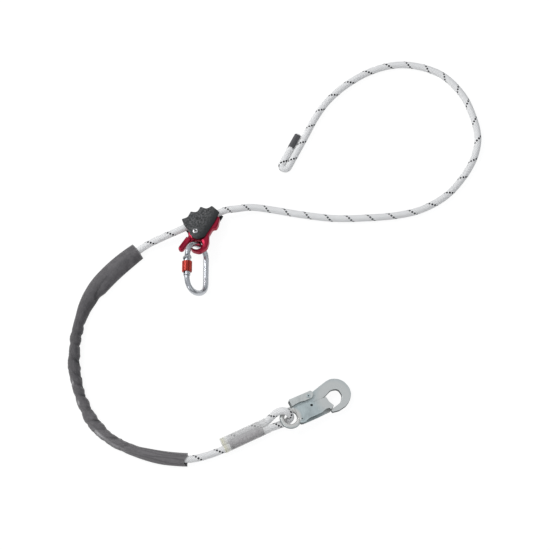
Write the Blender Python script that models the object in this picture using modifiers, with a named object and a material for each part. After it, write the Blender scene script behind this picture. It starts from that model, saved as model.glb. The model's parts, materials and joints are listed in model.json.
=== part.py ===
"""Tree climbing lanyard: a rope with a sewn snap hook, a protective sleeve, a camming rope adjuster
with a screw gate carabiner, and a stitched stop at its free end.

Lengths are in metres and +Z is up. The lanyard lies on the ground at z = 0, and the origin is on the
ground under the middle of the metal parts.
"""

import math

import bmesh
import bpy
import numpy as np
from mathutils import Matrix, Vector

# Shared values
CLEARANCE = 0.0003
OVERRUN = 0.004
MERGE = 0.00001
GROUND_GAP = 0.0002

# Rope
ROPE_DIAMETER = 0.0125
ROPE_STEP = 0.033
LEG_GAP = 0.0005
FOLD_STEP = 0.0075
# The rope comes down from the adjuster over a run of this many times the adjuster's height
RISE_RUN_SHARE = 6

# Where things lie on the ground, in the photograph's layout, before the shift to the origin
LAYOUT_SHIFT = Vector((0.0218, 0.0825, 0))
ADJUSTER_AT = Vector((-0.127, 0.102, 0))
ADJUSTER_TURN = math.radians(25)
ADJUSTER_ROLL = math.radians(12)
LABEL_END_AT = Vector((-0.013, -0.2814, 0))
LABEL_TURN = math.radians(25.5)
STOP_FOLD_AT = Vector((0.0187, 0.2110, 0))
STOP_TURN = math.radians(62.9)

# The rope's route from the label to the adjuster and from there to the stop: (x, y), layout metres
ROUTE_TO_ADJUSTER = [
    (-0.120, -0.336), (-0.152, -0.342), (-0.215, -0.334), (-0.258, -0.321), (-0.291, -0.302),
    (-0.318, -0.272), (-0.336, -0.241), (-0.3485, -0.2045), (-0.354, -0.165), (-0.353, -0.122),
    (-0.345, -0.082), (-0.328, -0.038), (-0.297, -0.002), (-0.262, 0.031), (-0.231, 0.054),
    (-0.208, 0.065),
]
ROUTE_TO_STOP = [
    (-0.070, 0.1225), (-0.045, 0.127), (-0.010, 0.1245), (0.050, 0.114), (0.108, 0.107),
    (0.166, 0.108), (0.222, 0.113), (0.268, 0.125), (0.312, 0.151), (0.344, 0.187), (0.366, 0.226),
    (0.375, 0.266), (0.368, 0.309), (0.350, 0.354), (0.315, 0.394), (0.270, 0.4135),
    (0.225, 0.4165), (0.178, 0.403), (0.134, 0.376), (0.098, 0.342), (0.074, 0.306),
]

# The rope's way round the hook's ring: (x, y) from the ring's centre along and across the label,
# and the height above the ground, in metres
ROUTE_ROUND_RING = [
    (-0.0300, 0.0006, 0.0069), (-0.0190, -0.0004, 0.0066), (-0.0100, -0.0009, 0.0072),
    (-0.0034, -0.0002, 0.0104), (0.0006, 0.0012, 0.0162), (0.0012, 0.0042, 0.0228),
    (-0.0010, 0.0084, 0.0279), (-0.0058, 0.0130, 0.0300), (-0.0128, 0.0165, 0.0278),
    (-0.0204, 0.0178, 0.0214), (-0.0282, 0.0171, 0.0144), (-0.0354, 0.0154, 0.0102),
]

# Label on the sewn eye
LABEL_LENGTH = 0.086
LABEL_WALL = 0.0007
LABEL_BAND_LENGTH = 0.064
LABEL_BAND_WALL = 0.0003
LABEL_ROPE_GAP = 0.0003
LABEL_JOINT_DEPTH = 0.014
EYE_SEAM_LENGTH = 0.050
EYE_SEAM_TOP_SHARE = 0.94
EYE_SEAM_FOOT_SHARE = 0.68
EYE_SEAM_RIBS = 12
EYE_SEAM_RIB_DEPTH = 0.0005
RIB_GAP_SHARE = 0.33

# Stop
STOP_LENGTH = 0.068
STOP_TAIL_SHARE = 0.97
STOP_PATCH_LENGTH = 0.028
STOP_PATCH_THICKNESS = 0.0008
STOP_PATCH_FROM_FOLD = 0.036
STOP_PATCH_SPAN = math.radians(106)
STOP_PATCH_RIBS = 9
STOP_PATCH_RIB_DEPTH = 0.0003

# Protective sleeve
SLEEVE_START = 0.0805
SLEEVE_LENGTH = 0.548
SLEEVE_WALL = 0.0004
SLEEVE_STEP = 0.014
SLEEVE_SIDES = 14
SLEEVE_FLAT_WIDTH = 0.0180
SLEEVE_ROPE_GAP = 0.0004

# Rope adjuster
CHEEK_LENGTH = 0.066
CHEEK_THICKNESS = 0.004
CHEEK_EDGE = 0.0008
CHANNEL_GAP = 0.0005
CHEEK_CHAMFER_WIDTH = 0.010
CHEEK_CHAMFER_DEPTH = 0.0022
SADDLE_RIVET_RADIUS = 0.002
AXLE_RADIUS = 0.0032
AXLE_HEAD_RADIUS = 0.0050
AXLE_HEAD_HEIGHT = 0.0016
AXLE_HEAD_EDGE = 0.0005
AXLE_DIMPLE_RADIUS = 0.0022
AXLE_DIMPLE_DEPTH = 0.0007
BUSHING_WALL = 0.001
CAM_SIDE_GAP = 0.0005
CAM_EDGE = 0.0028
CAM_EYE_RADIUS = 0.0094
CAM_TEETH = 7
CAM_TOOTH_RADIUS = 0.0009
CAM_TOOTH_PITCH = 0.0034
CAM_POCKET_RADIUS = 0.0064
CAM_POCKET_DEPTH = 0.0027
CAM_SPRING_WIRE = 0.0007
CAM_SPRING_TURNS = 1.5
CAM_SPRING_PITCH = 0.00115
ADJUSTER_SLIDE = 0.008
STRAIGHT_SPARE = 0.006

LEVER_WIDTH = 0.0106
LEVER_THICKNESS = 0.0090
LEVER_TONGUE = 0.0060
LEVER_EDGE = 0.0022
LEVER_PIN_RADIUS = 0.0014

# Points of the cheek's outline as shares of its length: (along the rope, above the rope's axis,
# corner radius)
CHEEK_OUTLINE_SHARES = [
    (-0.590, 0.205, 0.030), (-0.425, 0.180, 0.150), (-0.270, 0.315, 0.030), (-0.125, 0.205, 0.150),
    (0.032, 0.335, 0.030), (0.155, 0.185, 0.130), (0.325, 0.215, 0.040), (0.425, -0.065, 0.060),
    (0.160, -0.295, 0.600), (-0.250, -0.590, 0.060), (-0.430, -0.600, 0.070),
    (-0.565, -0.460, 0.080), (-0.560, -0.250, 0.300), (-0.600, 0.010, 0.300),
]
CHEEK_CORNER = 7
REAR_CORNER_SHARES = [(0.510, -0.080, 0.030), (0.365, -0.195, 0.080)]
CHEEK_CHAMFER_SHARES = ((0.425, -0.065), (-0.250, -0.590))
AXLE_PLACE_SHARES = (-0.405, -0.330)
SADDLE_RIVET_SHARES = ((-0.400, 0.158), (0.170, 0.150))
SADDLE_SHARES = [
    (-0.520, 0.061, 0.010), (-0.540, 0.100, 0.030), (-0.425, 0.140, 0.150), (-0.270, 0.220, 0.060),
    (-0.125, 0.160, 0.150), (0.032, 0.235, 0.060), (0.155, 0.145, 0.130), (0.290, 0.150, 0.030),
    (0.310, 0.061, 0.010),
]

# Points of the cam's outline: along the rope and below the rope's underside, and the corner radius
CAM_OUTLINE_SHARES = [
    (-0.180, -0.005, 0.030), (0.355, 0.000, 0.035), (0.372, -0.100, 0.080), (0.258, -0.265, 0.080),
    (0.160, -0.352, 0.060), (0.070, -0.312, 0.100), (-0.110, -0.460, 0.150),
    (-0.195, -0.660, 0.150), (-0.320, -0.810, 0.150), (-0.570, -0.860, 0.170),
    (-0.735, -0.690, 0.140), (-0.705, -0.480, 0.100), (-0.590, -0.350, 0.030),
    (-0.618, -0.170, 0.050), (-0.540, -0.070, 0.140), (-0.400, -0.020, 0.120),
]
CAM_EYE_SHARES = (-0.530, -0.575)
LEVER_PIN_SHARES = (-0.552, -0.226)
LEVER_TIP_SHARES = (-0.948, -0.480)
LEVER_SHOULDER_SHARE = 0.225
LEVER_ROOT_SHARE = 0.62
LEVER_GROOVE_WIDTH = 0.0036
LEVER_GROOVE_DEPTH = 0.0010

# Screw gate carabiner: its length and width are measured between the rod's centre lines
CARABINER_LENGTH = 0.0915
CARABINER_WIDTH = 0.048
CARABINER_ROD = 0.010
CARABINER_BOW = 0.0205
CARABINER_GATE_BOW = 0.0310
CARABINER_FOOT_BOW = 0.0265
CARABINER_LIFT = 0.0012
CARABINER_ROLL = math.radians(48)
CARABINER_BOW_STEPS = 9
CARABINER_GROOVE_WIDTH = 0.0040
CARABINER_GROOVE_DEPTH = 0.0010
GATE_DIAMETER = 0.0125
GATE_BARREL_EDGE = 0.0008
GATE_RIVET_DEPTH = 0.0315
GATE_EAR_RADIUS = 0.0050
GATE_BARREL_GAP = 0.0022
GATE_END_GAP = 0.0008
GATE_NOSE_DEPTH = 0.0665
GATE_TONGUE_THICKNESS = 0.0044
TONGUE_WIDTH = 0.0084
GATE_SLOT_DEPTH = 0.0068
GATE_RIVET_RADIUS = 0.0014
GATE_LATCH_RADIUS = 0.0010
GATE_LATCH_FROM_END = 0.0032
PLUNGER_RADIUS = 0.0017
PLUNGER_LENGTH = 0.007
GATE_SPRING_INSIDE = 0.0009
GATE_SPRING_WIRE = 0.0005
GATE_SPRING_TURNS = 5
GATE_SPRING_PITCH = 0.0022
SCREW_SLEEVE_DIAMETER = 0.018
SCREW_SLEEVE_LENGTH = 0.0202
SCREW_SLEEVE_START = 0.0384
SCREW_SLEEVE_RIBS = 20
SCREW_SLEEVE_RIB_DEPTH = 0.0009
SCREW_SLEEVE_EDGE = 0.0008
SCREW_SLEEVE_FIT = 0.0003

# Snap hook
HOOK_REACH = 0.1137
HOOK_THICKNESS = 0.008
HOOK_EDGE_SHARE = 0.0115
HOOK_RING_SPAN = math.radians(110)
HOOK_EYE_AT = Vector((0.0407, -0.0079, 0))
HOOK_EYE_HEIGHT = 0.017
HOOK_EYE_RADIUS = 0.011
HOOK_RING_BAR = 0.0083
HOOK_SHOULDER = 0.0048
HOOK_SHOULDER_ROUND = 0.015
HOOK_PLATE = 0.0015
HOOK_PLATE_EDGE = 0.0004
HOOK_RIVET_RADIUS = 0.0024
HOOK_RIVET_HEAD_RADIUS = 0.0036
HOOK_RIVET_HEAD_HEIGHT = 0.0007
HOOK_RIVET_HEAD_EDGE = 0.0003
HOOK_PEEP_RADIUS = 0.0021
HOOK_PEEP_FLOOR = 0.0015
HOOK_POCKET_RADIUS = 0.0042
HOOK_POCKET_DEPTH = 0.0050
HOOK_SPRING_WIRE = 0.0008
HOOK_SPRING_TURNS = 3
HOOK_SPRING_PITCH = 0.0013

# The hook's outlines as shares of its reach: (along, across, corner radius), from the ring's centre
HOOK_BODY_SHARES = [
    (0.150, -0.155, 0.050), (0.235, -0.105, 0.100), (0.360, -0.072, 0.100),
    (0.500, -0.070, 0.100), (0.552, -0.050, 0.040), (0.552, 0.072, 0.060), (0.630, 0.092, 0.060),
    (0.762, 0.150, 0.120), (0.872, 0.118, 0.100), (0.882, 0.000, 0.100), (0.806, -0.096, 0.110),
    (0.700, -0.118, 0.025), (0.620, -0.142, 0.018), (0.628, -0.182, 0.018), (0.740, -0.200, 0.100),
    (0.890, -0.166, 0.160),
    (1.020, -0.060, 0.160), (1.050, 0.100, 0.200), (0.972, 0.262, 0.160), (0.830, 0.322, 0.140),
    (0.690, 0.294, 0.080), (0.480, 0.238, 0.020), (0.440, 0.242, 0.030), (0.385, 0.238, 0.040),
    (0.260, 0.188, 0.100),
]
HOOK_GATE_SHARES = [
    (0.098, -0.156, 0.050), (0.104, -0.020, 0.030), (0.120, 0.116, 0.030), (0.300, 0.119, 0.080),
    (0.410, 0.090, 0.060), (0.540, 0.080, 0.040), (0.640, 0.076, 0.022), (0.650, -0.012, 0.120),
    (0.692, -0.100, 0.012), (0.612, -0.146, 0.030), (0.390, -0.156, 0.100),
]
HOOK_GATE_WEB_SHARES = [
    (0.690, -0.0985, 0.008), (0.668, -0.056, 0.012), (0.627, -0.060, 0.010), (0.634, -0.120, 0.010),
]
HOOK_LOCK_SHARES = [
    (0.084, 0.262, 0.020), (0.086, 0.140, 0.020), (0.150, 0.154, 0.040), (0.228, 0.160, 0.040),
    (0.310, 0.146, 0.040), (0.430, 0.146, 0.040), (0.488, 0.196, 0.050), (0.464, 0.262, 0.016),
]
HOOK_GATE_RELIEF_SHARES = [
    (0.190, -0.150, 0.020), (0.260, -0.128, 0.030), (0.385, -0.128, 0.030), (0.470, -0.126, 0.040),
    (0.560, -0.098, 0.030), (0.610, -0.106, 0.020), (0.626, -0.150, 0.010), (0.626, -0.220, 0.010),
    (0.190, -0.220, 0.010),
]
HOOK_LOCK_WEB_FOOT_SHARE = 0.2495
HOOK_GATE_PIVOT_SHARES = (0.146, -0.095)
HOOK_LOCK_PIVOT_SHARES = (0.392, 0.194)
HOOK_PEEP_SHARES = (0.378, 0.044)

# Values that follow from the ones above
ROPE_RADIUS = ROPE_DIAMETER / 2
LEG_OFFSET = ROPE_RADIUS + LEG_GAP / 2
CHANNEL_HALF = ROPE_RADIUS + CHANNEL_GAP
CHEEK_OUTER = CHANNEL_HALF + CHEEK_THICKNESS
SADDLE_HALF = CHANNEL_HALF - CLEARANCE
CAM_HALF = CHANNEL_HALF - CAM_SIDE_GAP
PRESS_LINE = -(ROPE_RADIUS + CLEARANCE)
HOOK_HALF = HOOK_THICKNESS / 2
HOOK_GATE_INNER = HOOK_HALF + CLEARANCE
HOOK_GATE_OUTER = HOOK_GATE_INNER + HOOK_PLATE
HOOK_LOCK_INNER = HOOK_GATE_OUTER + CLEARANCE
HOOK_LOCK_OUTER = HOOK_LOCK_INNER + HOOK_PLATE
LABEL_BORE = ROPE_RADIUS + LABEL_ROPE_GAP
LABEL_BAND_OUTER = LABEL_BORE + LABEL_BAND_WALL
LABEL_INNER = LABEL_BAND_OUTER + CLEARANCE
LABEL_OUTER = LABEL_INNER + LABEL_WALL
LABEL_HEIGHT = LABEL_OUTER + GROUND_GAP
SLEEVE_REACH = ROPE_RADIUS + SLEEVE_ROPE_GAP + SLEEVE_WALL


def start():
    """Empties the scene and makes the two collections."""
    for item in list(bpy.data.objects):
        bpy.data.objects.remove(item, do_unlink=True)
    made = []
    for name in ("tree_climbing_lanyard", "cutters"):
        group = bpy.data.collections.new(name)
        bpy.context.scene.collection.children.link(group)
        made.append(group)
    made[1].hide_render = True
    return made


PARTS, CUTTERS = start()


def look(name, colour, metallic, roughness):
    """A plain Principled material."""
    made = bpy.data.materials.new(name)
    made.use_nodes = True
    shader = made.node_tree.nodes["Principled BSDF"]
    shader.inputs["Base Color"].default_value = (*colour, 1)
    shader.inputs["Metallic"].default_value = metallic
    shader.inputs["Roughness"].default_value = roughness
    return made


ROPE_WHITE = look("rope_white", (0.82, 0.82, 0.80), 0, 0.85)
CLEAR_SHRINK = look("clear_shrink", (0.86, 0.87, 0.85), 0, 0.2)
LABEL_FILM = look("label_film", (0.78, 0.78, 0.76), 0, 0.6)
DARK_THREAD = look("dark_thread", (0.05, 0.05, 0.055), 0, 0.8)
DARK_FABRIC = look("dark_fabric", (0.09, 0.085, 0.09), 0, 0.85)
BLACK_ANODISED = look("black_anodised", (0.03, 0.033, 0.035), 0.6, 0.45)
RED_ANODISED = look("red_anodised", (0.42, 0.015, 0.045), 0.7, 0.35)
RED_SLEEVE = look("red_sleeve", (0.62, 0.05, 0.03), 0.6, 0.4)
POLISHED_ALLOY = look("polished_alloy", (0.75, 0.77, 0.79), 1, 0.18)
BRIGHT_STEEL = look("bright_steel", (0.72, 0.72, 0.72), 1, 0.22)
SPRING_STEEL = look("spring_steel", (0.45, 0.45, 0.46), 1, 0.35)
ZINC_PLATE = look("zinc_plate", (0.55, 0.60, 0.61), 0.85, 0.38)


def frame(name, parent, place, turn=None):
    """An empty that carries parts: its origin and axes are their local frame."""
    made = bpy.data.objects.new(name, None)
    PARTS.objects.link(made)
    made.parent = parent
    made.matrix_local = Matrix.Translation(place) @ (turn or Matrix.Identity(4))
    return made


def add(name, data, parent, material=None):
    """An object under its frame: a part with its material, or a hidden cutter without one."""
    made = bpy.data.objects.new(name, data)
    made.parent = parent
    if material is None:
        CUTTERS.objects.link(made)
        made.hide_render = True
        made.display_type = "WIRE"
    else:
        PARTS.objects.link(made)
        data.materials.append(material)
    return made


def joined_mesh(curve, name):
    """The curve's shape as a mesh whose caps are welded to its sides."""
    holder = bpy.data.objects.new(name, curve)
    bpy.context.scene.collection.objects.link(holder)
    graph = bpy.context.evaluated_depsgraph_get()
    mesh = bpy.data.meshes.new_from_object(holder.evaluated_get(graph))
    bpy.data.objects.remove(holder, do_unlink=True)
    shape = bmesh.new()
    shape.from_mesh(mesh)
    bmesh.ops.remove_doubles(shape, verts=shape.verts, dist=MERGE)
    bmesh.ops.recalc_face_normals(shape, faces=shape.faces)
    shape.to_mesh(mesh)
    shape.free()
    mesh.name = name
    mesh.shade_smooth()
    mesh.set_sharp_from_angle(angle=math.radians(40))
    return mesh


def plate(name, outline, thickness, edge=0.0, edge_steps=1):
    """A flat outline, extruded both ways from its plane, with rounded edges of the given size."""
    curve = bpy.data.curves.new(name, "CURVE")
    curve.dimensions = "2D"
    curve.fill_mode = "BOTH"
    curve.extrude = thickness / 2 - edge
    curve.bevel_depth = edge
    curve.bevel_resolution = edge_steps
    curve.offset = -edge
    spline = curve.splines.new("POLY")
    spline.points.add(len(outline) - 1)
    for point, (x, y) in zip(spline.points, outline):
        point.co = (x, y, 0, 1)
    spline.use_cyclic_u = True
    return joined_mesh(curve, name)


def rounded(corners, size=1.0, steps=3):
    """An outline whose corners (x, y, radius), as shares of size, are turned into short curves."""
    reach_share = 0.49
    points = []
    for i, (x, y, radius) in enumerate(corners):
        here = Vector((x, y))
        if not radius:
            points.append(size * here)
            continue
        back = Vector(corners[i - 1][:2]) - here
        on = Vector(corners[(i + 1) % len(corners)][:2]) - here
        reach = radius / math.tan(back.angle(on) / 2)
        reach = min(reach, reach_share * back.length, reach_share * on.length)
        first = here + back.normalized() * reach
        last = here + on.normalized() * reach
        for k in range(steps + 1):
            t = k / steps
            points.append(size * ((1 - t) ** 2 * first + 2 * t * (1 - t) * here + t * t * last))
    return points


def turned(name, profile, parent, material=None, steps=24, closed=False):
    """A piece turned about its own Z axis: (radius, height) down its outer side."""
    mesh = bpy.data.meshes.new(name)
    edges = [(i, i + 1) for i in range(len(profile) - 1)]
    if closed:
        edges.append((len(profile) - 1, 0))
    mesh.from_pydata([(radius, 0, height) for radius, height in profile], edges, [])
    made = add(name, mesh, parent, material)
    screw = made.modifiers.new("turn", "SCREW")
    screw.axis = "Z"
    screw.angle = math.tau
    screw.steps = screw.render_steps = steps
    screw.use_merge_vertices = True
    screw.merge_threshold = MERGE
    screw.use_smooth_shade = True
    return made


def rod(name, radius, bottom, top, parent, material=None, steps=20):
    """A plain round bar along Z."""
    profile = [(0, top), (radius, top), (radius, bottom), (0, bottom)]
    return turned(name, profile, parent, material, steps)


def drill(name, radius, half, parent, place=(0, 0, 0), steps=16):
    """A hidden round bar at the place, through a piece of this half thickness and past its faces."""
    made = rod(name, radius, -half - OVERRUN, half + OVERRUN, parent, steps=steps)
    made.location = place
    return made


def box(name, low, high, parent, turn=None):
    """A hidden box between two corners of its parent's frame, or of that frame turned."""
    mesh = bpy.data.meshes.new(name)
    shape = bmesh.new()
    bmesh.ops.create_cube(shape, size=1)
    low, high = Vector(low), Vector(high)
    size = Vector([abs(side) for side in high - low])
    bmesh.ops.scale(shape, vec=size, verts=shape.verts)
    bmesh.ops.translate(shape, vec=(low + high) / 2, verts=shape.verts)
    shape.to_mesh(mesh)
    shape.free()
    made = add(name, mesh, parent)
    if turn is not None:
        made.matrix_local = turn
    return made


def boolean(target, other, operation):
    change = target.modifiers.new(other.name, "BOOLEAN")
    change.operation = operation
    change.object = other


def cut(target, *cutters):
    for cutter in cutters:
        boolean(target, cutter, "DIFFERENCE")


def join(target, *additions):
    for addition in additions:
        boolean(target, addition, "UNION")


def tube_curve(name, points, radius, resolution):
    """The curve of a round bar or cord along the points."""
    curve = bpy.data.curves.new(name, "CURVE")
    curve.dimensions = "3D"
    curve.bevel_depth = radius
    curve.bevel_resolution = resolution
    curve.use_fill_caps = True
    curve.twist_mode = "MINIMUM"
    spline = curve.splines.new("POLY")
    spline.points.add(len(points) - 1)
    for point, place in zip(spline.points, points):
        point.co = (*place, 1)
    return curve


def tube(name, points, radius, parent, material, resolution=2):
    """A round bar or cord along the points."""
    return add(name, tube_curve(name, points, radius, resolution), parent, material)


def smooth_through(points, step):
    """Points read about every step from a smooth curve through the given ones."""
    points = [Vector(point) for point in points]
    padded = [2 * points[0] - points[1], *points, 2 * points[-1] - points[-2]]
    read = [points[0]]
    for before, start_at, end_at, after in zip(padded, padded[1:], padded[2:], padded[3:]):
        length = (end_at - start_at).length
        leave = (end_at - before) * (length / ((start_at - before).length + length))
        arrive = (after - start_at) * (length / ((after - end_at).length + length))
        count = max(1, round(length / step))
        for k in range(1, count + 1):
            t = k / count
            read.append(
                start_at * (2 * t**3 - 3 * t**2 + 1)
                + leave * (t**3 - 2 * t**2 + t)
                + end_at * (3 * t**2 - 2 * t**3)
                + arrive * (t**3 - t**2)
            )
    return read


def spring(name, inside, wire, turns, pitch, bottom, parent, count=8):
    """A coil about Z round a bar of the inside radius, whose wire starts on +X at the bottom."""
    radius = (inside + wire / 2) / math.cos(math.pi / count)
    points = []
    for k in range(round(turns * count) + 1):
        angle = math.tau * k / count
        height = bottom + wire / 2 + pitch * k / count
        points.append(Vector((radius * math.cos(angle), radius * math.sin(angle), height)))
    # Each end runs straight on for one wire thickness
    first = points[0] + (points[0] - points[1]).normalized() * wire
    last = points[-1] + (points[-1] - points[-2]).normalized() * wire
    apart = count // 2 + 1
    gap = min((b - a).length for i, a in enumerate(points) for b in points[i + apart:]) - wire
    print(f"{name}: least gap to itself {gap * 1000:.2f} mm")
    return tube(name, [first, *points, last], wire / 2, parent, SPRING_STEEL, resolution=1)


def at_share(shares, size, base=0.0):
    return Vector((shares[0] * size, base + shares[1] * size, 0))


def turn_about(axis, angle):
    return Matrix.Rotation(angle, 4, axis)


# Layout: everything hangs from one frame, shifted so that the origin is under the metal parts
LAYOUT = frame("layout", None, LAYOUT_SHIFT)


# The adjuster's place: it rests on the rear cheek's teeth, rolled so that the cam's eye is raised
def adjuster_height():
    """Height of the rope's axis where the rolled adjuster just clears the ground."""
    highest_tooth = max(y for _, y, _ in CHEEK_OUTLINE_SHARES) * CHEEK_LENGTH
    lean, rise = math.cos(ADJUSTER_ROLL), math.sin(ADJUSTER_ROLL)
    return CHEEK_OUTER * lean + highest_tooth * rise + GROUND_GAP


ADJUSTER_HEIGHT = adjuster_height()
ADJUSTER = frame(
    "adjuster_frame",
    LAYOUT,
    ADJUSTER_AT + Vector((0, 0, ADJUSTER_HEIGHT)),
    turn_about("Z", ADJUSTER_TURN) @ turn_about("X", -ADJUSTER_ROLL),
)


def straight_run():
    """Layout points of the rope's straight run through the adjuster, from left to right."""
    steps = 3
    xs = [x for x, _, _ in CHEEK_OUTLINE_SHARES]
    low = min(xs) * CHEEK_LENGTH - ADJUSTER_SLIDE - STRAIGHT_SPARE
    high = max(xs) * CHEEK_LENGTH + ADJUSTER_SLIDE + STRAIGHT_SPARE
    along = Vector((math.cos(ADJUSTER_TURN), math.sin(ADJUSTER_TURN), 0))
    middle = ADJUSTER_AT + Vector((0, 0, ADJUSTER_HEIGHT))
    step = (high - low) / steps
    return [middle + along * (low + step * k) for k in range(steps + 1)]


def lifted(points, near, rise_run, resting):
    """The route's points at their resting height, raised toward the near end's over the rise."""
    made = []
    for x, y in points:
        far = min(1, math.hypot(x - near.x, y - near.y) / rise_run)
        blend = far * far * (3 - 2 * far)
        made.append(Vector((x, y, near.z + (resting - near.z) * blend)))
    return made


# The label's frame: origin at the middle of its hook end, X toward the hook
LABEL = frame("label_frame", LAYOUT, LABEL_END_AT, turn_about("Z", LABEL_TURN))
LABEL_MATRIX = Matrix.Translation(LABEL_END_AT) @ turn_about("Z", LABEL_TURN)


def lane(x, side):
    """A point on one of the eye's two legs in the label's frame: side +1 is the tail's leg."""
    return Vector((x, side * LEG_OFFSET, LABEL_HEIGHT))


def eye_points():
    """The rope from the standing leg round the hook's ring and back along the tail, label frame."""
    bends = [HOOK_EYE_AT + Vector(point) for point in ROUTE_ROUND_RING]
    start_x = -LABEL_LENGTH + LABEL_JOINT_DEPTH + CLEARANCE
    tail_x = -LABEL_LENGTH + CLEARANCE
    inner_x = -FOLD_STEP
    standing = [lane(start_x, -1), lane(start_x / 2, -1), lane(inner_x, -1), lane(0, -1)]
    tail = [lane(0, 1), lane(inner_x, 1), lane(tail_x / 2, 1), lane(tail_x, 1)]
    loop = smooth_through([standing[2], standing[3], *bends, tail[0], tail[1]], FOLD_STEP)
    return [*standing[:2], *loop, *tail[2:]]


def stop_points():
    """The stop in its own frame: down the standing leg, round the fold and back up the tail."""
    fold_steps = 6
    standing = [Vector((STOP_LENGTH, -LEG_OFFSET, 0)), Vector((STOP_LENGTH / 2, -LEG_OFFSET, 0))]
    fold = []
    for k in range(fold_steps + 1):
        angle = -math.pi / 2 - math.pi * k / fold_steps
        fold.append(Vector((LEG_OFFSET * math.cos(angle), LEG_OFFSET * math.sin(angle), 0)))
    tail_length = STOP_LENGTH * STOP_TAIL_SHARE
    tail = [Vector((tail_length / 2, LEG_OFFSET, 0)), Vector((tail_length, LEG_OFFSET, 0))]
    return [*standing, *fold, *tail]


STOP_MIDDLE = STOP_FOLD_AT + Vector((0, 0, ROPE_RADIUS + GROUND_GAP))
STOP = frame("stop_frame", LAYOUT, STOP_MIDDLE, turn_about("Z", STOP_TURN))
STOP_MATRIX = Matrix.Translation(STOP_MIDDLE) @ turn_about("Z", STOP_TURN)


def rope_route():
    """The free stretch: from inside the label, through sleeve and adjuster, round to the stop."""
    label_start = LABEL_MATRIX @ lane(-LABEL_LENGTH + LABEL_JOINT_DEPTH - CLEARANCE, -1)
    label_mouth = LABEL_MATRIX @ lane(-LABEL_LENGTH - CLEARANCE, -1)
    run = straight_run()
    rise_run = RISE_RUN_SHARE * ADJUSTER_HEIGHT
    first = lifted(ROUTE_TO_ADJUSTER[:1], label_mouth, ROPE_STEP, SLEEVE_REACH + GROUND_GAP)
    middle = lifted(ROUTE_TO_ADJUSTER[1:], run[0], rise_run, SLEEVE_REACH + GROUND_GAP)
    last = lifted(ROUTE_TO_STOP, run[-1], rise_run, ROPE_RADIUS + GROUND_GAP)
    stop_mouth = STOP_MATRIX @ Vector((STOP_LENGTH + CLEARANCE, -LEG_OFFSET, 0))
    return [label_start, label_mouth, *first, *middle, *run, *last, stop_mouth]


ROPE_POINTS = smooth_through(rope_route(), ROPE_STEP)


def length_of(points):
    return sum((b - a).length for a, b in zip(points, points[1:]))


def make_rope():
    tube("rope_main", ROPE_POINTS, ROPE_RADIUS, LAYOUT, ROPE_WHITE, resolution=3)
    tube("rope_hook_eye", eye_points(), ROPE_RADIUS, LABEL, ROPE_WHITE, resolution=3)
    tube("rope_stop_end", stop_points(), ROPE_RADIUS, STOP, ROPE_WHITE, resolution=3)
    free = length_of(ROPE_POINTS)
    total = free + length_of(eye_points()) + length_of(stop_points())
    print(f"rope length {total:.3f} m, free stretch {free:.3f} m, {len(ROPE_POINTS)} points")


def racetrack(radius, offset=LEG_OFFSET, steps=8):
    """The outline round two points of the X axis, offset to either side, at this distance."""
    points = []
    for side in (1, -1):
        for k in range(steps + 1):
            angle = -math.pi / 2 + math.pi * k / steps
            x = offset + radius * math.cos(angle)
            points.append((side * x, side * radius * math.sin(angle)))
    return points


def band(name, inner, outer, length, end, material):
    """A flattened tube round the eye's legs, as long as given, that stops short of the hook end."""
    across = turn_about("Y", math.pi / 2) @ turn_about("Z", math.pi / 2)
    middle = Matrix.Translation(Vector((-end - length / 2, 0, LABEL_HEIGHT)))
    made = add(name, plate(name, racetrack(outer), length), LABEL, material)
    made.matrix_local = middle @ across
    core = add(name + "_core", plate(name + "_core", racetrack(inner), length + 2 * OVERRUN), LABEL)
    core.matrix_local = middle @ across
    cut(made, core)


def make_label():
    band("eye_label_sleeve", LABEL_INNER, LABEL_OUTER, LABEL_LENGTH, 0, CLEAR_SHRINK)
    spare = (LABEL_LENGTH - LABEL_BAND_LENGTH) / 2
    band("eye_label_band", LABEL_BORE, LABEL_BAND_OUTER, LABEL_BAND_LENGTH, spare, LABEL_FILM)
    # The seam fills the valley between the two legs: a wedge with a rib for each row of thread
    top = EYE_SEAM_TOP_SHARE * ROPE_RADIUS
    foot = EYE_SEAM_FOOT_SHARE * ROPE_RADIUS
    reach = ROPE_RADIUS + CLEARANCE
    top_half = LEG_OFFSET - math.sqrt(reach**2 - top**2) - CLEARANCE / 2
    foot_half = LEG_OFFSET - math.sqrt(reach**2 - foot**2) - CLEARANCE / 2
    section = [(-top_half, top), (-foot_half, foot), (foot_half, foot), (top_half, top)]
    mesh = plate("eye_stitching", section, EYE_SEAM_LENGTH)
    seam = add("eye_stitching", mesh, LABEL, DARK_THREAD)
    across = turn_about("Y", math.pi / 2) @ turn_about("Z", math.pi / 2)
    seam.matrix_local = Matrix.Translation(Vector((-LABEL_LENGTH / 2, 0, LABEL_HEIGHT))) @ across
    pitch = EYE_SEAM_LENGTH / EYE_SEAM_RIBS
    half = RIB_GAP_SHARE * pitch / 2
    for k in range(1, EYE_SEAM_RIBS):
        x = -LABEL_LENGTH / 2 - EYE_SEAM_LENGTH / 2 + pitch * k
        low = (x - half, -top_half - OVERRUN, LABEL_HEIGHT + top - EYE_SEAM_RIB_DEPTH)
        high = (x + half, top_half + OVERRUN, LABEL_HEIGHT + top + OVERRUN)
        cut(seam, box(f"seam_gap_{k}", low, high, LABEL))


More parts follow.
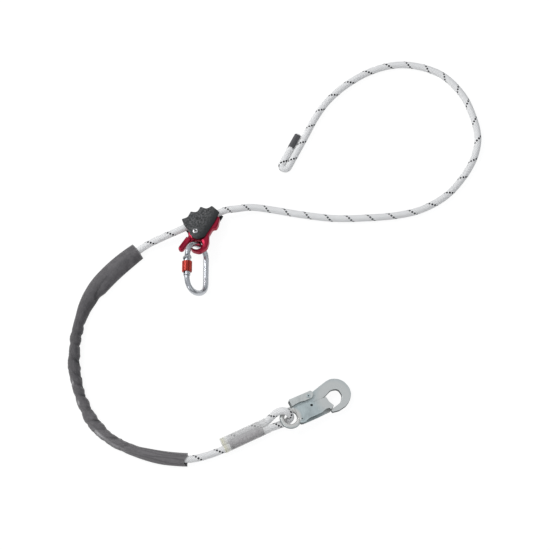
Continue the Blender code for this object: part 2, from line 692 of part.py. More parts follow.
def make_stop_patch():
    """The dark stitched patch: a ribbed shell over the stop's short leg."""
    inner = ROPE_RADIUS + CLEARANCE
    outer = inner + STOP_PATCH_THICKNESS
    steps = 10
    outline = []
    for radius, order in ((outer, 1), (inner, -1)):
        for k in range(steps + 1)[::order]:
            angle = math.pi / 2 + STOP_PATCH_SPAN * (k / steps - 1 / 2)
            outline.append((radius * math.cos(angle), radius * math.sin(angle)))
    mesh = plate("stop_stitching", outline, STOP_PATCH_LENGTH)
    patch = add("stop_stitching", mesh, STOP, DARK_THREAD)
    across = turn_about("Z", math.pi / 2) @ turn_about("X", math.pi / 2)
    middle = Vector((STOP_PATCH_FROM_FOLD + STOP_PATCH_LENGTH / 2, LEG_OFFSET, 0))
    patch.matrix_local = Matrix.Translation(middle) @ across
    pitch = STOP_PATCH_LENGTH / STOP_PATCH_RIBS
    half = RIB_GAP_SHARE * pitch / 2
    for k in range(1, STOP_PATCH_RIBS):
        x = STOP_PATCH_FROM_FOLD + pitch * k
        low = (x - half, LEG_OFFSET - outer, outer - STOP_PATCH_RIB_DEPTH)
        high = (x + half, LEG_OFFSET + outer, outer + OVERRUN)
        cut(patch, box(f"patch_gap_{k}", low, high, STOP))


# The sleeve's section along its length: (share of the length from the hook end, outer half width,
# inner half width, height), the last three as shares of the flat half width
SLEEVE_SECTION_SHARES = [
    (0.000, 0.68, 0.65, 0.82), (0.032, 0.69, 0.65, 0.81), (0.076, 0.72, 0.62, 0.80),
    (0.105, 0.69, 0.60, 0.80), (0.134, 0.62, 0.58, 0.82), (0.163, 0.55, 0.50, 0.84),
    (0.193, 0.47, 0.51, 0.88), (0.207, 0.44, 0.40, 0.92), (0.236, 0.43, 0.46, 0.90),
    (0.258, 0.44, 0.40, 0.94), (0.280, 0.46, 0.40, 0.92), (0.302, 0.54, 0.48, 0.88),
    (0.324, 0.58, 0.44, 0.90), (0.338, 0.59, 0.40, 0.94), (0.358, 0.59, 0.49, 0.88),
    (0.382, 0.45, 0.40, 0.96), (0.404, 0.47, 0.51, 0.90), (0.426, 0.41, 0.40, 0.98),
    (0.450, 0.42, 0.46, 0.94), (0.470, 0.40, 0.42, 0.98), (0.484, 0.46, 0.53, 0.90),
    (0.506, 0.44, 0.42, 0.96), (0.530, 0.58, 0.49, 0.88), (0.548, 0.55, 0.40, 0.92),
    (0.572, 0.49, 0.48, 0.90), (0.600, 0.40, 0.40, 0.98), (0.615, 0.46, 0.46, 0.92),
    (0.632, 0.50, 0.42, 0.92), (0.659, 0.48, 0.55, 0.88), (0.674, 0.48, 0.46, 0.90),
    (0.703, 0.58, 0.59, 0.86), (0.733, 0.69, 0.67, 0.82), (0.762, 0.73, 0.83, 0.80),
    (0.784, 0.78, 0.87, 0.79), (0.795, 0.80, 0.85, 0.79), (0.820, 0.91, 1.05, 0.77),
    (0.849, 1.01, 1.01, 0.76), (0.879, 1.06, 0.97, 0.76), (0.923, 1.07, 0.96, 0.76),
    (0.960, 1.04, 0.94, 0.77), (1.000, 0.98, 0.88, 0.78),
]


def sleeve_section(share):
    """Half widths and height of the sleeve's section at a share of its length, in metres."""
    table = np.array(SLEEVE_SECTION_SHARES)
    return [SLEEVE_FLAT_WIDTH * np.interp(share, table[:, 0], table[:, k]) for k in (1, 2, 3)]


def stations(points, start, stop, step):
    """Along the points from start to stop: (place, direction, distance), at bends and between them."""
    made = []
    passed = 0
    for i in range(len(points) - 1):
        here, on = points[i], points[i + 1]
        length = (on - here).length
        direction = (on - here).normalized()
        low, high = max(start, passed), min(stop, passed + length)
        if low < high:
            count = max(1, round((high - low) / step))
            for k in range(count):
                distance = low + (high - low) * k / count
                turn = direction
                if distance == passed:
                    turn = (direction + (here - points[i - 1]).normalized()).normalized()
                made.append((here + direction * (distance - passed), turn, distance))
            last = (here + direction * (high - passed), direction, high)
        passed += length
    return [*made, last]


def make_protective_sleeve():
    """A loft between unlike sections: a flattened fabric tube that twists and bunches on the rope."""
    shape = bmesh.new()
    rings = []
    for place, direction, distance in stations(
        ROPE_POINTS, SLEEVE_START, SLEEVE_START + SLEEVE_LENGTH, SLEEVE_STEP
    ):
        side = direction.cross(Vector((0, 0, 1))).normalized()
        outer, inner, height = sleeve_section((distance - SLEEVE_START) / SLEEVE_LENGTH)
        outer, inner = max(outer, SLEEVE_REACH), max(inner, SLEEVE_REACH)
        half = max(height / 2, SLEEVE_REACH)
        ring = []
        for j in range(SLEEVE_SIDES):
            angle = math.tau * j / SLEEVE_SIDES
            x, y = math.cos(angle), math.sin(angle)
            wide = inner if x > 0 else outer
            rise = Vector((0, 0, y * half + half - SLEEVE_REACH))
            ring.append(shape.verts.new(place + side * (x * wide) + rise))
        rings.append(ring)
    for low, high in zip(rings, rings[1:]):
        for j in range(SLEEVE_SIDES):
            on = (j + 1) % SLEEVE_SIDES
            shape.faces.new((low[j], low[on], high[on], high[j]))
    bmesh.ops.recalc_face_normals(shape, faces=shape.faces)
    mesh = bpy.data.meshes.new("protective_sleeve")
    shape.to_mesh(mesh)
    shape.free()
    mesh.shade_smooth()
    made = add("protective_sleeve", mesh, LAYOUT, DARK_FABRIC)
    wall = made.modifiers.new("wall", "SOLIDIFY")
    wall.thickness = SLEEVE_WALL
    wall.offset = -1
    wall.use_even_offset = True


def make_adjuster():
    rear_shares = list(CHEEK_OUTLINE_SHARES)
    rear_shares[CHEEK_CORNER:CHEEK_CORNER + 1] = REAR_CORNER_SHARES
    axle = at_share(AXLE_PLACE_SHARES, CHEEK_LENGTH)
    rivets = [at_share(shares, CHEEK_LENGTH) for shares in SADDLE_RIVET_SHARES]
    start_at, end_at = (at_share(shares, CHEEK_LENGTH) for shares in CHEEK_CHAMFER_SHARES)
    run = end_at - start_at
    lean = math.atan2(CHEEK_CHAMFER_DEPTH, CHEEK_CHAMFER_WIDTH)
    for name, side, shares in (
        ("adjuster_front_cheek", 1, CHEEK_OUTLINE_SHARES),
        ("adjuster_rear_cheek", -1, rear_shares),
    ):
        outline = rounded(shares, CHEEK_LENGTH)
        cheek = add(name, plate(name, outline, CHEEK_THICKNESS, CHEEK_EDGE), ADJUSTER, BLACK_ANODISED)
        cheek.location.z = side * (CHANNEL_HALF + CHEEK_THICKNESS / 2)
        # The long right edge slopes down toward the rope: a tilted box shaves it off
        edge_frame = (
            Matrix.Translation(start_at + Vector((0, 0, side * (CHEEK_OUTER - CHEEK_CHAMFER_DEPTH))))
            @ turn_about("Z", math.atan2(run.y, run.x))
            @ turn_about("X", -side * lean)
        )
        low = (-CHEEK_LENGTH, -2 * CHEEK_CHAMFER_WIDTH, 0)
        high = (run.length + CHEEK_LENGTH, 2 * CHEEK_CHAMFER_WIDTH, side * CHEEK_THICKNESS)
        cut(cheek, box(name + "_slope", low, high, ADJUSTER, edge_frame))
        hole = AXLE_RADIUS + CLEARANCE
        cut(cheek, drill(name + "_axle_hole", hole, CHEEK_OUTER, ADJUSTER, axle, steps=20))
        hole = SADDLE_RIVET_RADIUS + CLEARANCE
        for k, place in enumerate(rivets):
            cut(cheek, drill(f"{name}_rivet_hole_{k}", hole, CHEEK_OUTER, ADJUSTER, place))

    # The rope's bed: its top follows the cheeks' teeth, and a round groove takes the rope
    saddle_mesh = plate("adjuster_saddle", rounded(SADDLE_SHARES, CHEEK_LENGTH), 2 * SADDLE_HALF)
    saddle = add("adjuster_saddle", saddle_mesh, ADJUSTER, BLACK_ANODISED)
    groove = drill("saddle_groove", ROPE_RADIUS + CHANNEL_GAP, CHEEK_LENGTH, ADJUSTER, steps=24)
    groove.rotation_euler.y = math.pi / 2
    cut(saddle, groove)
    for name, place in zip(("left", "right"), rivets):
        cut(saddle, drill(f"saddle_hole_{name}", hole, CHEEK_OUTER, ADJUSTER, place))
        rivet = rod(
            f"adjuster_saddle_rivet_{name}",
            SADDLE_RIVET_RADIUS,
            -CHEEK_OUTER,
            CHEEK_OUTER,
            ADJUSTER,
            BLACK_ANODISED,
            steps=16,
        )
        rivet.location = place

    # The axle has a domed and dimpled head in front, and a nut behind
    under = CHEEK_OUTER + CLEARANCE
    top = under + AXLE_HEAD_HEIGHT
    dimple = top - AXLE_DIMPLE_DEPTH
    shoulder = AXLE_HEAD_RADIUS - 2 * AXLE_HEAD_EDGE
    foot = -top + AXLE_HEAD_EDGE
    profile = [
        (0, dimple), (AXLE_DIMPLE_RADIUS, dimple), (AXLE_DIMPLE_RADIUS, top),
        (shoulder, top - AXLE_HEAD_EDGE), (AXLE_HEAD_RADIUS, under + AXLE_HEAD_EDGE),
        (AXLE_HEAD_RADIUS, under), (AXLE_RADIUS, under), (AXLE_RADIUS, foot), (0, foot),
    ]
    turned("adjuster_axle", profile, ADJUSTER, BRIGHT_STEEL).location = axle
    nut_bore = AXLE_RADIUS + CLEARANCE
    profile = [
        (shoulder, -under), (AXLE_HEAD_RADIUS, -under - AXLE_HEAD_EDGE),
        (AXLE_HEAD_RADIUS, foot), (shoulder, -top), (nut_bore, -top), (nut_bore, -under),
    ]
    turned("adjuster_axle_nut", profile, ADJUSTER, BRIGHT_STEEL, closed=True).location = axle
    inner = AXLE_RADIUS + CLEARANCE
    outer = inner + BUSHING_WALL
    half = CHANNEL_HALF - CLEARANCE
    profile = [(outer, half), (outer, -half), (inner, -half), (inner, half)]
    turned("adjuster_bushing", profile, ADJUSTER, BRIGHT_STEEL, closed=True).location = axle
    bottom = CAM_HALF - CAM_POCKET_DEPTH + CLEARANCE
    inside = outer + CLEARANCE
    size = (CAM_SPRING_WIRE, CAM_SPRING_TURNS, CAM_SPRING_PITCH)
    spring("adjuster_cam_spring", inside, *size, bottom, ADJUSTER).location = axle
    return axle


def lever_outline(root_half, tip_half, shoulder, length, steps=8):
    """A bar with round ends, X from the pin to the tip, that widens at the shoulder."""
    points = [(shoulder, root_half)]
    for k in range(steps + 1):
        angle = math.pi / 2 + math.pi * k / steps
        points.append((root_half * math.cos(angle), root_half * math.sin(angle)))
    points += [(shoulder, -root_half), (shoulder, -tip_half)]
    for k in range(steps + 1):
        angle = math.pi * (k / steps - 1 / 2)
        points.append((length + tip_half * math.cos(angle), tip_half * math.sin(angle)))
    return [*points, (shoulder, tip_half)]


def make_cam(axle):
    """The cam with its eye and serrated face, and the release lever that is pinned in its slot."""
    cam = frame("cam_axis", ADJUSTER, axle)
    shift = Vector((-axle.x, -axle.y, 0))
    outline = rounded(CAM_OUTLINE_SHARES, CHEEK_LENGTH, steps=4)
    outline = [(p.x, p.y + PRESS_LINE) for p in outline]
    body = add("cam_body", plate("cam_body", outline, 2 * CAM_HALF, CAM_EDGE, 2), cam, RED_ANODISED)
    body.location = shift
    # The bore for the bushing and the spring's pocket
    bore_radius = AXLE_RADIUS + BUSHING_WALL + 2 * CLEARANCE
    hole = drill("cam_bore", bore_radius, CAM_HALF, cam, steps=20)
    pocket = rod("cam_pocket", CAM_POCKET_RADIUS, CAM_HALF - CAM_POCKET_DEPTH, CAM_HALF + OVERRUN, cam)
    # The eye's rim is fully rounded, so that a slanting rod can lie in it
    eye = at_share(CAM_EYE_SHARES, CHEEK_LENGTH, PRESS_LINE)
    steps = 6
    profile = []
    for k in range(steps + 1):
        height = CAM_HALF * (1 - 2 * k / steps)
        flare = CAM_HALF - math.sqrt(CAM_HALF**2 - height**2)
        profile.append((CAM_EYE_RADIUS + flare, height))
    mouth = (CAM_EYE_RADIUS + CAM_HALF, CAM_HALF + OVERRUN)
    profile = [(0, mouth[1]), mouth, *profile, (mouth[0], -mouth[1]), (0, -mouth[1])]
    eye_cutter = turned("cam_eye", profile, cam, steps=28)
    eye_cutter.location = eye + shift
    # The lever's tongue is pinned in a slot that opens to the lower left
    root = at_share(LEVER_PIN_SHARES, CHEEK_LENGTH, PRESS_LINE) + shift
    tip = at_share(LEVER_TIP_SHARES, CHEEK_LENGTH, PRESS_LINE) + shift
    way = tip - root
    lever_frame = Matrix.Translation(root) @ turn_about("Z", math.atan2(way.y, way.x))
    tip_half = LEVER_WIDTH / 2
    root_half = tip_half * LEVER_ROOT_SHARE
    shoulder = LEVER_SHOULDER_SHARE * way.length
    outline = lever_outline(root_half + CLEARANCE, tip_half, shoulder - CLEARANCE, way.length)
    slot = add("lever_slot", plate("lever_slot", outline, LEVER_TONGUE + 2 * CLEARANCE), cam)
    slot.matrix_local = lever_frame
    cut(body, hole, pocket, eye_cutter, slot)
    for k in range(CAM_TEETH):
        place = shift + Vector((CAM_TOOTH_PITCH * (k + 1 / 2), PRESS_LINE, 0))
        cut(body, drill(f"cam_groove_{k}", CAM_TOOTH_RADIUS, CAM_HALF, cam, place, steps=10))

    outline = lever_outline(root_half, tip_half, shoulder, way.length)
    lever_mesh = plate("release_lever", outline, LEVER_THICKNESS, LEVER_EDGE, 2)
    lever = add("release_lever", lever_mesh, cam, RED_ANODISED)
    lever.matrix_local = lever_frame
    for side in (1, -1):
        low = (-LEVER_WIDTH, -LEVER_WIDTH, side * LEVER_TONGUE / 2)
        high = (shoulder, LEVER_WIDTH, side * LEVER_THICKNESS)
        cut(lever, box(f"lever_shoulder_{side}", low, high, cam, lever_frame))
    groove_length = way.length - shoulder - LEVER_WIDTH
    groove_outline = racetrack(LEVER_GROOVE_WIDTH / 2, groove_length / 2)
    groove = add("lever_groove", plate("lever_groove", groove_outline, LEVER_THICKNESS), cam)
    groove.matrix_local = lever_frame @ Matrix.Translation(
        (way.length - groove_length / 2, 0, LEVER_THICKNESS - LEVER_GROOVE_DEPTH)
    )
    cut(lever, groove)
    hole = LEVER_PIN_RADIUS + CLEARANCE
    for target in (body, lever):
        cut(target, drill(target.name + "_pin_hole", hole, CAM_HALF, cam, root, steps=12))
    reach = CAM_HALF - CLEARANCE
    pin = rod("release_lever_pin", LEVER_PIN_RADIUS, -reach, reach, cam, BRIGHT_STEEL, steps=12)
    pin.location = root
    return cam, eye + shift


def bow(end, gate_reach, spine_reach):
    """Points of one end of the carabiner, from the gate's side to the spine's.

    Each side is a quarter ellipse of the spine's reach. The gate's side is drawn out to its own reach
    by a share that grows with the square of the way from the tip.
    """
    half = CARABINER_WIDTH / 2
    points = []
    for k in range(2 * CARABINER_BOW_STEPS + 1):
        angle = math.pi * k / (2 * CARABINER_BOW_STEPS)
        way = 1 - math.sin(angle)
        extra = (gate_reach - spine_reach) * way * way if math.cos(angle) > 0 else 0
        points.append(Vector((end + spine_reach * way + extra, -half * math.cos(angle), 0)))
    return points


def make_carabiner(cam, eye):
    """The carabiner's frame has X down its length, Y from the gate to the spine, Z out of its plane."""
    bpy.context.view_layer.update()
    down = Vector((0, -1, 0))
    across = Vector((math.cos(CARABINER_ROLL), 0, -math.sin(CARABINER_ROLL)))
    out = down.cross(across)
    axes = Matrix((down, across, out)).transposed().to_4x4()
    hang = frame("carabiner_axis", cam, eye)
    bpy.context.view_layer.update()
    local = hang.matrix_world.to_3x3().inverted().to_4x4() @ axes
    lift = local.to_3x3() @ Vector((-CARABINER_LIFT, 0, 0))
    carrier = frame("carabiner_frame", hang, lift, local)

    half = CARABINER_WIDTH / 2
    rod_radius = CARABINER_ROD / 2
    shoulder = GATE_RIVET_DEPTH - GATE_EAR_RADIUS - GATE_END_GAP
    top = bow(0, CARABINER_GATE_BOW, CARABINER_BOW)
    bottom = bow(CARABINER_LENGTH, -CARABINER_FOOT_BOW, -CARABINER_BOW)
    bar = tube_curve("carabiner_body", [*top, *reversed(bottom)], rod_radius, resolution=4)
    body = add("carabiner_body", joined_mesh(bar, "carabiner_body"), carrier, POLISHED_ALLOY)

    # The rod is cut square for the gate, and a flat tongue stands on each end
    reach = rod_radius + OVERRUN
    low = (shoulder, -half - reach, -reach)
    room = box("gate_room", low, (GATE_NOSE_DEPTH, -half + reach, reach), carrier)
    thick = GATE_TONGUE_THICKNESS / 2
    tongue_radius = GATE_EAR_RADIUS - CLEARANCE
    web_half = TONGUE_WIDTH / 2
    hinge = Vector((GATE_RIVET_DEPTH, -half, 0))
    tongue = rod("hinge_tongue", tongue_radius, -thick, thick, carrier)
    tongue.location = hinge
    low = (shoulder - rod_radius / 2, -half - web_half, -thick)
    web = box("hinge_web", low, (GATE_RIVET_DEPTH, -half + web_half, thick), carrier)
    low = (GATE_NOSE_DEPTH - GATE_SLOT_DEPTH + GATE_END_GAP, -half - web_half, -thick)
    nose = box("nose_tongue", low, (GATE_NOSE_DEPTH + rod_radius / 2, -half + web_half, thick), carrier)
    cut(body, room)
    join(body, tongue, web, nose)
    barrel_end = GATE_NOSE_DEPTH - GATE_END_GAP
    latch_x = barrel_end - GATE_LATCH_FROM_END
    notch_half = GATE_LATCH_RADIUS + 2 * CLEARANCE
    notch = box(
        "latch_notch",
        (latch_x - notch_half, -half - notch_half, -thick - OVERRUN),
        (latch_x + notch_half, -half + rod_radius + OVERRUN, thick + OVERRUN),
        carrier,
    )
    rivet_bore = GATE_RIVET_RADIUS + CLEARANCE
    cut(body, notch, drill("hinge_hole", rivet_bore, thick, carrier, hinge, steps=12))
    for side in (1, -1):
        groove_half = CARABINER_GROOVE_WIDTH / 2
        floor = side * (rod_radius - CARABINER_GROOVE_DEPTH)
        low = (CARABINER_BOW, half - groove_half, floor)
        high = (CARABINER_LENGTH - CARABINER_BOW, half + groove_half, side * reach)
        cut(body, box(f"spine_groove_{side}", low, high, carrier))

    ear_half = GATE_DIAMETER / 2 - CLEARANCE
    size = (GATE_RIVET_RADIUS, -ear_half, ear_half)
    rivet = rod("carabiner_gate_rivet", *size, carrier, BRIGHT_STEEL, steps=12)
    rivet.location = hinge

    # The gate: a barrel between the hinge's ears and a slotted end, about the rivet's axis
    gate_frame = frame("carabiner_gate_axis", carrier, hinge)
    along_x = turn_about("Y", math.pi / 2)
    barrel_start = GATE_BARREL_GAP
    barrel_stop = barrel_end - GATE_RIVET_DEPTH
    radius = GATE_DIAMETER / 2
    rim = radius - GATE_BARREL_EDGE
    profile = [
        (0, barrel_stop), (rim, barrel_stop), (radius, barrel_stop - GATE_BARREL_EDGE),
        (radius, barrel_start + GATE_BARREL_EDGE), (rim, barrel_start), (0, barrel_start),
    ]
    gate = turned("carabiner_gate", profile, gate_frame, POLISHED_ALLOY, steps=24)
    gate.matrix_local = along_x
    ears = rod("gate_ears", GATE_EAR_RADIUS, -ear_half, ear_half, gate_frame)
    slot_half = thick + CLEARANCE
    slot_end = GATE_EAR_RADIUS + CLEARANCE
    wide = radius + OVERRUN
    low = (-slot_end - OVERRUN, -wide, -slot_half)
    hinge_slot = box("gate_hinge_slot", low, (slot_end, wide, slot_half), gate_frame)
    low = (barrel_stop - GATE_SLOT_DEPTH, -wide, -slot_half)
    high = (barrel_stop + OVERRUN, wide, slot_half)
    nose_slot = box("gate_nose_slot", low, high, gate_frame)
    latch_at = Vector((latch_x - GATE_RIVET_DEPTH, 0, 0))
    rivet_hole = drill("gate_rivet_hole", rivet_bore, radius, gate_frame, steps=12)
    latch_bore = GATE_LATCH_RADIUS + CLEARANCE
    latch_hole = drill("gate_latch_hole", latch_bore, radius, gate_frame, latch_at, steps=12)
    # The plunger and its spring lie in a bore behind the hinge's slot
    plunger_stop = slot_end + PLUNGER_LENGTH
    spring_start = plunger_stop + CLEARANCE
    spring_length = GATE_SPRING_TURNS * GATE_SPRING_PITCH + 2 * GATE_SPRING_WIRE
    bore_stop = spring_start + spring_length + CLEARANCE
    bore = rod("gate_bore", PLUNGER_RADIUS + CLEARANCE, 0, bore_stop, gate_frame, steps=12)
    bore.matrix_local = along_x
    join(gate, ears)
    cut(gate, hinge_slot, nose_slot, rivet_hole, latch_hole, bore)
    size = (GATE_LATCH_RADIUS, -ear_half + CLEARANCE, ear_half - CLEARANCE)
    latch = rod("carabiner_latch_pin", *size, gate_frame, BRIGHT_STEEL, steps=12)
    latch.location = latch_at
    size = (PLUNGER_RADIUS, slot_end, plunger_stop)
    plunger = rod("carabiner_gate_plunger", *size, gate_frame, BRIGHT_STEEL, steps=12)
    plunger.matrix_local = along_x
    size = (GATE_SPRING_INSIDE, GATE_SPRING_WIRE, GATE_SPRING_TURNS, GATE_SPRING_PITCH)
    spring("carabiner_gate_spring", *size, spring_start, gate_frame).matrix_local = along_x

    # The screw sleeve: ribs all round from one rule, and a bore that clears the gate
    outer = SCREW_SLEEVE_DIAMETER / 2
    ribs = []
    points_per_rib = 4
    flank_share = 0.33
    for k in range(points_per_rib * SCREW_SLEEVE_RIBS):
        r = outer if k % points_per_rib in (0, 1) else outer - SCREW_SLEEVE_RIB_DEPTH
        angle = math.tau * (k + (k % 2) * flank_share) / (points_per_rib * SCREW_SLEEVE_RIBS)
        ribs.append((r * math.cos(angle), r * math.sin(angle)))
    mesh = plate("carabiner_screw_sleeve", ribs, SCREW_SLEEVE_LENGTH, SCREW_SLEEVE_EDGE, 0)
    sleeve = add("carabiner_screw_sleeve", mesh, gate_frame, RED_SLEEVE)
    middle = SCREW_SLEEVE_START + SCREW_SLEEVE_LENGTH / 2 - GATE_RIVET_DEPTH
    sleeve.matrix_local = Matrix.Translation((middle, 0, 0)) @ along_x
    size = (radius + SCREW_SLEEVE_FIT, middle - SCREW_SLEEVE_LENGTH, middle + SCREW_SLEEVE_LENGTH)
    sleeve_bore = rod("sleeve_bore", *size, gate_frame, steps=24)
    sleeve_bore.matrix_local = along_x
    cut(sleeve, sleeve_bore)


def rivet_profile(reach, shaft):
    """A rivet of this shaft radius, down its outer side, whose heads sit on faces at the reach."""
    under = reach + CLEARANCE
    top = under + HOOK_RIVET_HEAD_HEIGHT
    crown = HOOK_RIVET_HEAD_RADIUS - HOOK_RIVET_HEAD_HEIGHT
    head = [(0, top), (crown, top), (HOOK_RIVET_HEAD_RADIUS, under + HOOK_RIVET_HEAD_EDGE)]
    half = [*head, (HOOK_RIVET_HEAD_RADIUS, under), (shaft, under)]
    return half + [(r, -z) for r, z in reversed(half)]


def make_hook():
    """The hook's frame has X along it and Z out of its plate, pitched so that its nose lies down."""
    drop = HOOK_EYE_HEIGHT - HOOK_HALF - GROUND_GAP
    nose = HOOK_REACH * max(x for x, _, _ in HOOK_BODY_SHARES)
    fall = math.asin(drop / nose)
    pitch = fall - HOOK_HALF * (1 - math.cos(fall)) / nose
    height = Vector((0, 0, HOOK_EYE_HEIGHT))
    hook = frame("hook_frame", LABEL, HOOK_EYE_AT + height, turn_about("Y", pitch))

    gate_at = at_share(HOOK_GATE_PIVOT_SHARES, HOOK_REACH)
    lock_at = at_share(HOOK_LOCK_PIVOT_SHARES, HOOK_REACH)
    # The ring is a round bar, and the plate of the body ends along the bar's centre line
    bar = HOOK_RING_BAR / 2
    ring_radius = HOOK_EYE_RADIUS + bar
    edge = HOOK_EDGE_SHARE * HOOK_REACH
    corners = list(HOOK_BODY_SHARES)
    arc_steps = 12
    arc = [(ring_radius, k, 0) for k in range(arc_steps + 1)]
    shoulder = ring_radius + HOOK_SHOULDER
    soft = HOOK_SHOULDER_ROUND
    for radius, k, corner in [(shoulder, 0, soft), *arc, (shoulder, arc_steps, soft)]:
        angle = HOOK_RING_SPAN * (1 / 2 - k / arc_steps)
        share = radius / HOOK_REACH
        corners.append((share * math.cos(angle), share * math.sin(angle), corner))
    outline = rounded(corners, HOOK_REACH, steps=4)
    body = add("hook_body", plate("hook_body", outline, HOOK_THICKNESS, edge, 1), hook, ZINC_PLATE)
    bar_steps = 14
    profile = []
    for k in range(bar_steps):
        angle = math.pi / 2 - math.tau * (k + 1 / 2) / bar_steps
        profile.append((ring_radius + bar * math.cos(angle), bar * math.sin(angle)))
    join(body, turned("hook_ring", profile, hook, steps=36, closed=True))
    bore = HOOK_RIVET_RADIUS + CLEARANCE
    pocket_floor = HOOK_HALF - HOOK_POCKET_DEPTH
    for name, place in (("gate", gate_at), ("lock", lock_at)):
        hole = drill(f"hook_{name}_bore", bore, HOOK_HALF, hook, place)
        size = (HOOK_POCKET_RADIUS, pocket_floor, HOOK_HALF + OVERRUN)
        pocket = rod(f"hook_{name}_pocket", *size, hook)
        pocket.location = place
        cut(body, hole, pocket)
    peep_at = at_share(HOOK_PEEP_SHARES, HOOK_REACH)
    peep = rod("hook_peep", HOOK_PEEP_RADIUS, HOOK_PEEP_FLOOR - HOOK_HALF, HOOK_LOCK_OUTER, hook)
    peep.location = peep_at
    cut(body, peep)

    # Gate: two cheeks either side of the body, joined by the bar that closes the hook
    gate_frame = frame("hook_gate_axis", hook, gate_at)
    outline = rounded(HOOK_GATE_SHARES, HOOK_REACH)
    gate_mesh = plate("hook_gate", outline, 2 * HOOK_GATE_OUTER, HOOK_PLATE_EDGE, 0)
    gate = add("hook_gate", gate_mesh, gate_frame, ZINC_PLATE)
    gate.location = -gate_at
    xs = [x * HOOK_REACH for x, _, _ in HOOK_GATE_SHARES]
    hollow = box(
        "gate_hollow",
        (min(xs) - OVERRUN - gate_at.x, -HOOK_REACH, -HOOK_GATE_INNER),
        (max(xs) + OVERRUN - gate_at.x, HOOK_REACH, HOOK_GATE_INNER),
        gate_frame,
    )
    outline = rounded(HOOK_GATE_WEB_SHARES, HOOK_REACH, steps=1)
    web_mesh = plate("gate_web", outline, 2 * HOOK_GATE_INNER + HOOK_PLATE)
    web = add("gate_web", web_mesh, gate_frame)
    web.location = -gate_at
    # The upper cheek's lower edge is pressed back in a wave, so that the lower one shows below it
    relief_mesh = plate("gate_relief", rounded(HOOK_GATE_RELIEF_SHARES, HOOK_REACH), 2 * HOOK_PLATE)
    relief = add("gate_relief", relief_mesh, gate_frame)
    relief.location = Vector((0, 0, HOOK_GATE_OUTER)) - gate_at
    hole = drill("gate_cheek_hole", bore, HOOK_GATE_OUTER, gate_frame)
    place = peep_at - gate_at
    peep_hole = drill("gate_peep", HOOK_PEEP_RADIUS, HOOK_GATE_OUTER, gate_frame, place)
    cut(gate, hollow)
    join(gate, web)
    cut(gate, relief, hole, peep_hole)

    # Lock lever: two cheeks outside the gate's, joined by a web along the hook's back
    lock_frame = frame("hook_lock_axis", hook, lock_at)
    outline = rounded(HOOK_LOCK_SHARES, HOOK_REACH)
    lock_mesh = plate("hook_lock_lever", outline, 2 * HOOK_LOCK_OUTER, HOOK_PLATE_EDGE, 0)
    lock = add("hook_lock_lever", lock_mesh, lock_frame, ZINC_PLATE)
    lock.location = -lock_at
    web_foot = HOOK_LOCK_WEB_FOOT_SHARE * HOOK_REACH - lock_at.y
    low = (-HOOK_REACH, -HOOK_REACH, -HOOK_LOCK_INNER)
    hollow = box("lock_hollow", low, (HOOK_REACH, web_foot, HOOK_LOCK_INNER), lock_frame)
    cut(lock, hollow, drill("lock_cheek_hole", bore, HOOK_LOCK_OUTER, lock_frame))

    for name, place, reach in (
        ("gate", gate_at, HOOK_GATE_OUTER),
        ("lock", lock_at, HOOK_LOCK_OUTER),
    ):
        profile = rivet_profile(reach, HOOK_RIVET_RADIUS)
        turned(f"hook_{name}_rivet", profile, hook, ZINC_PLATE, steps=16).location = place
        size = (bore, HOOK_SPRING_WIRE, HOOK_SPRING_TURNS, HOOK_SPRING_PITCH)
        spring(f"hook_{name}_spring", *size, pocket_floor + CLEARANCE, hook).location = place


make_rope()
make_label()
make_stop_patch()
make_protective_sleeve()
AXLE = make_adjuster()
CAM, EYE = make_cam(AXLE)
make_carabiner(CAM, EYE)
make_hook()
bpy.context.view_layer.update()
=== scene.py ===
# %% [markdown]
# # A tree climbing lanyard
#
# The lanyard lies on a pale ground: a white rope with a snap hook sewn into one end, a dark fabric
# sleeve, a camming rope adjuster with a screw gate carabiner, and a stitched stop at the free end.
# The solid model arrives as a fixed frame. This script gives every surface its look, and it makes the
# soft pieces anew: the rope, its sleeve, the clear tube over the sewn eye and the stitching.

import json
import math

import bmesh
import bpy
import numpy as np
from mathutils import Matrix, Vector


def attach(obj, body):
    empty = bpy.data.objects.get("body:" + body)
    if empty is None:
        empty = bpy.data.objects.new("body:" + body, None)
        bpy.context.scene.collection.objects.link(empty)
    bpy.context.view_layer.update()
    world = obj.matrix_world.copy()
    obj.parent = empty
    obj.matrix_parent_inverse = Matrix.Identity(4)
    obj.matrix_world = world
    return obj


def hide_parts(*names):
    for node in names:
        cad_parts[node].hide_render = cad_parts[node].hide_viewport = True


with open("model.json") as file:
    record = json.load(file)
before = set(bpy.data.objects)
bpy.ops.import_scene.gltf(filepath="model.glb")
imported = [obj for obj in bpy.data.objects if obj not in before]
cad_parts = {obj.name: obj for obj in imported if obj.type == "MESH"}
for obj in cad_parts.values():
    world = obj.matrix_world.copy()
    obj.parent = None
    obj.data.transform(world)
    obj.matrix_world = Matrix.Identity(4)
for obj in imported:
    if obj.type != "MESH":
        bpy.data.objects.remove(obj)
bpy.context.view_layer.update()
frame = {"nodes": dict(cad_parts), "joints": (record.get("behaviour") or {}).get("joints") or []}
joints = {joint["name"]: joint for joint in frame["joints"]}

# %% [markdown]
# ## Camera
#
# The photograph was taken from high above, tilted a little toward the viewer. A long lens 3.2 m away
# shows about 0.99 m of ground across the frame. The layout's middle is the point that the lens looks
# at, and the rope's route is measured from it.

# %% Camera
LAYOUT_MIDDLE = np.array([0.0218, 0.0825, 0.0])
CAMERA_DISTANCE = 3.2
CAMERA_ELEVATION = math.radians(70)
VIEW_WIDTH = 0.99


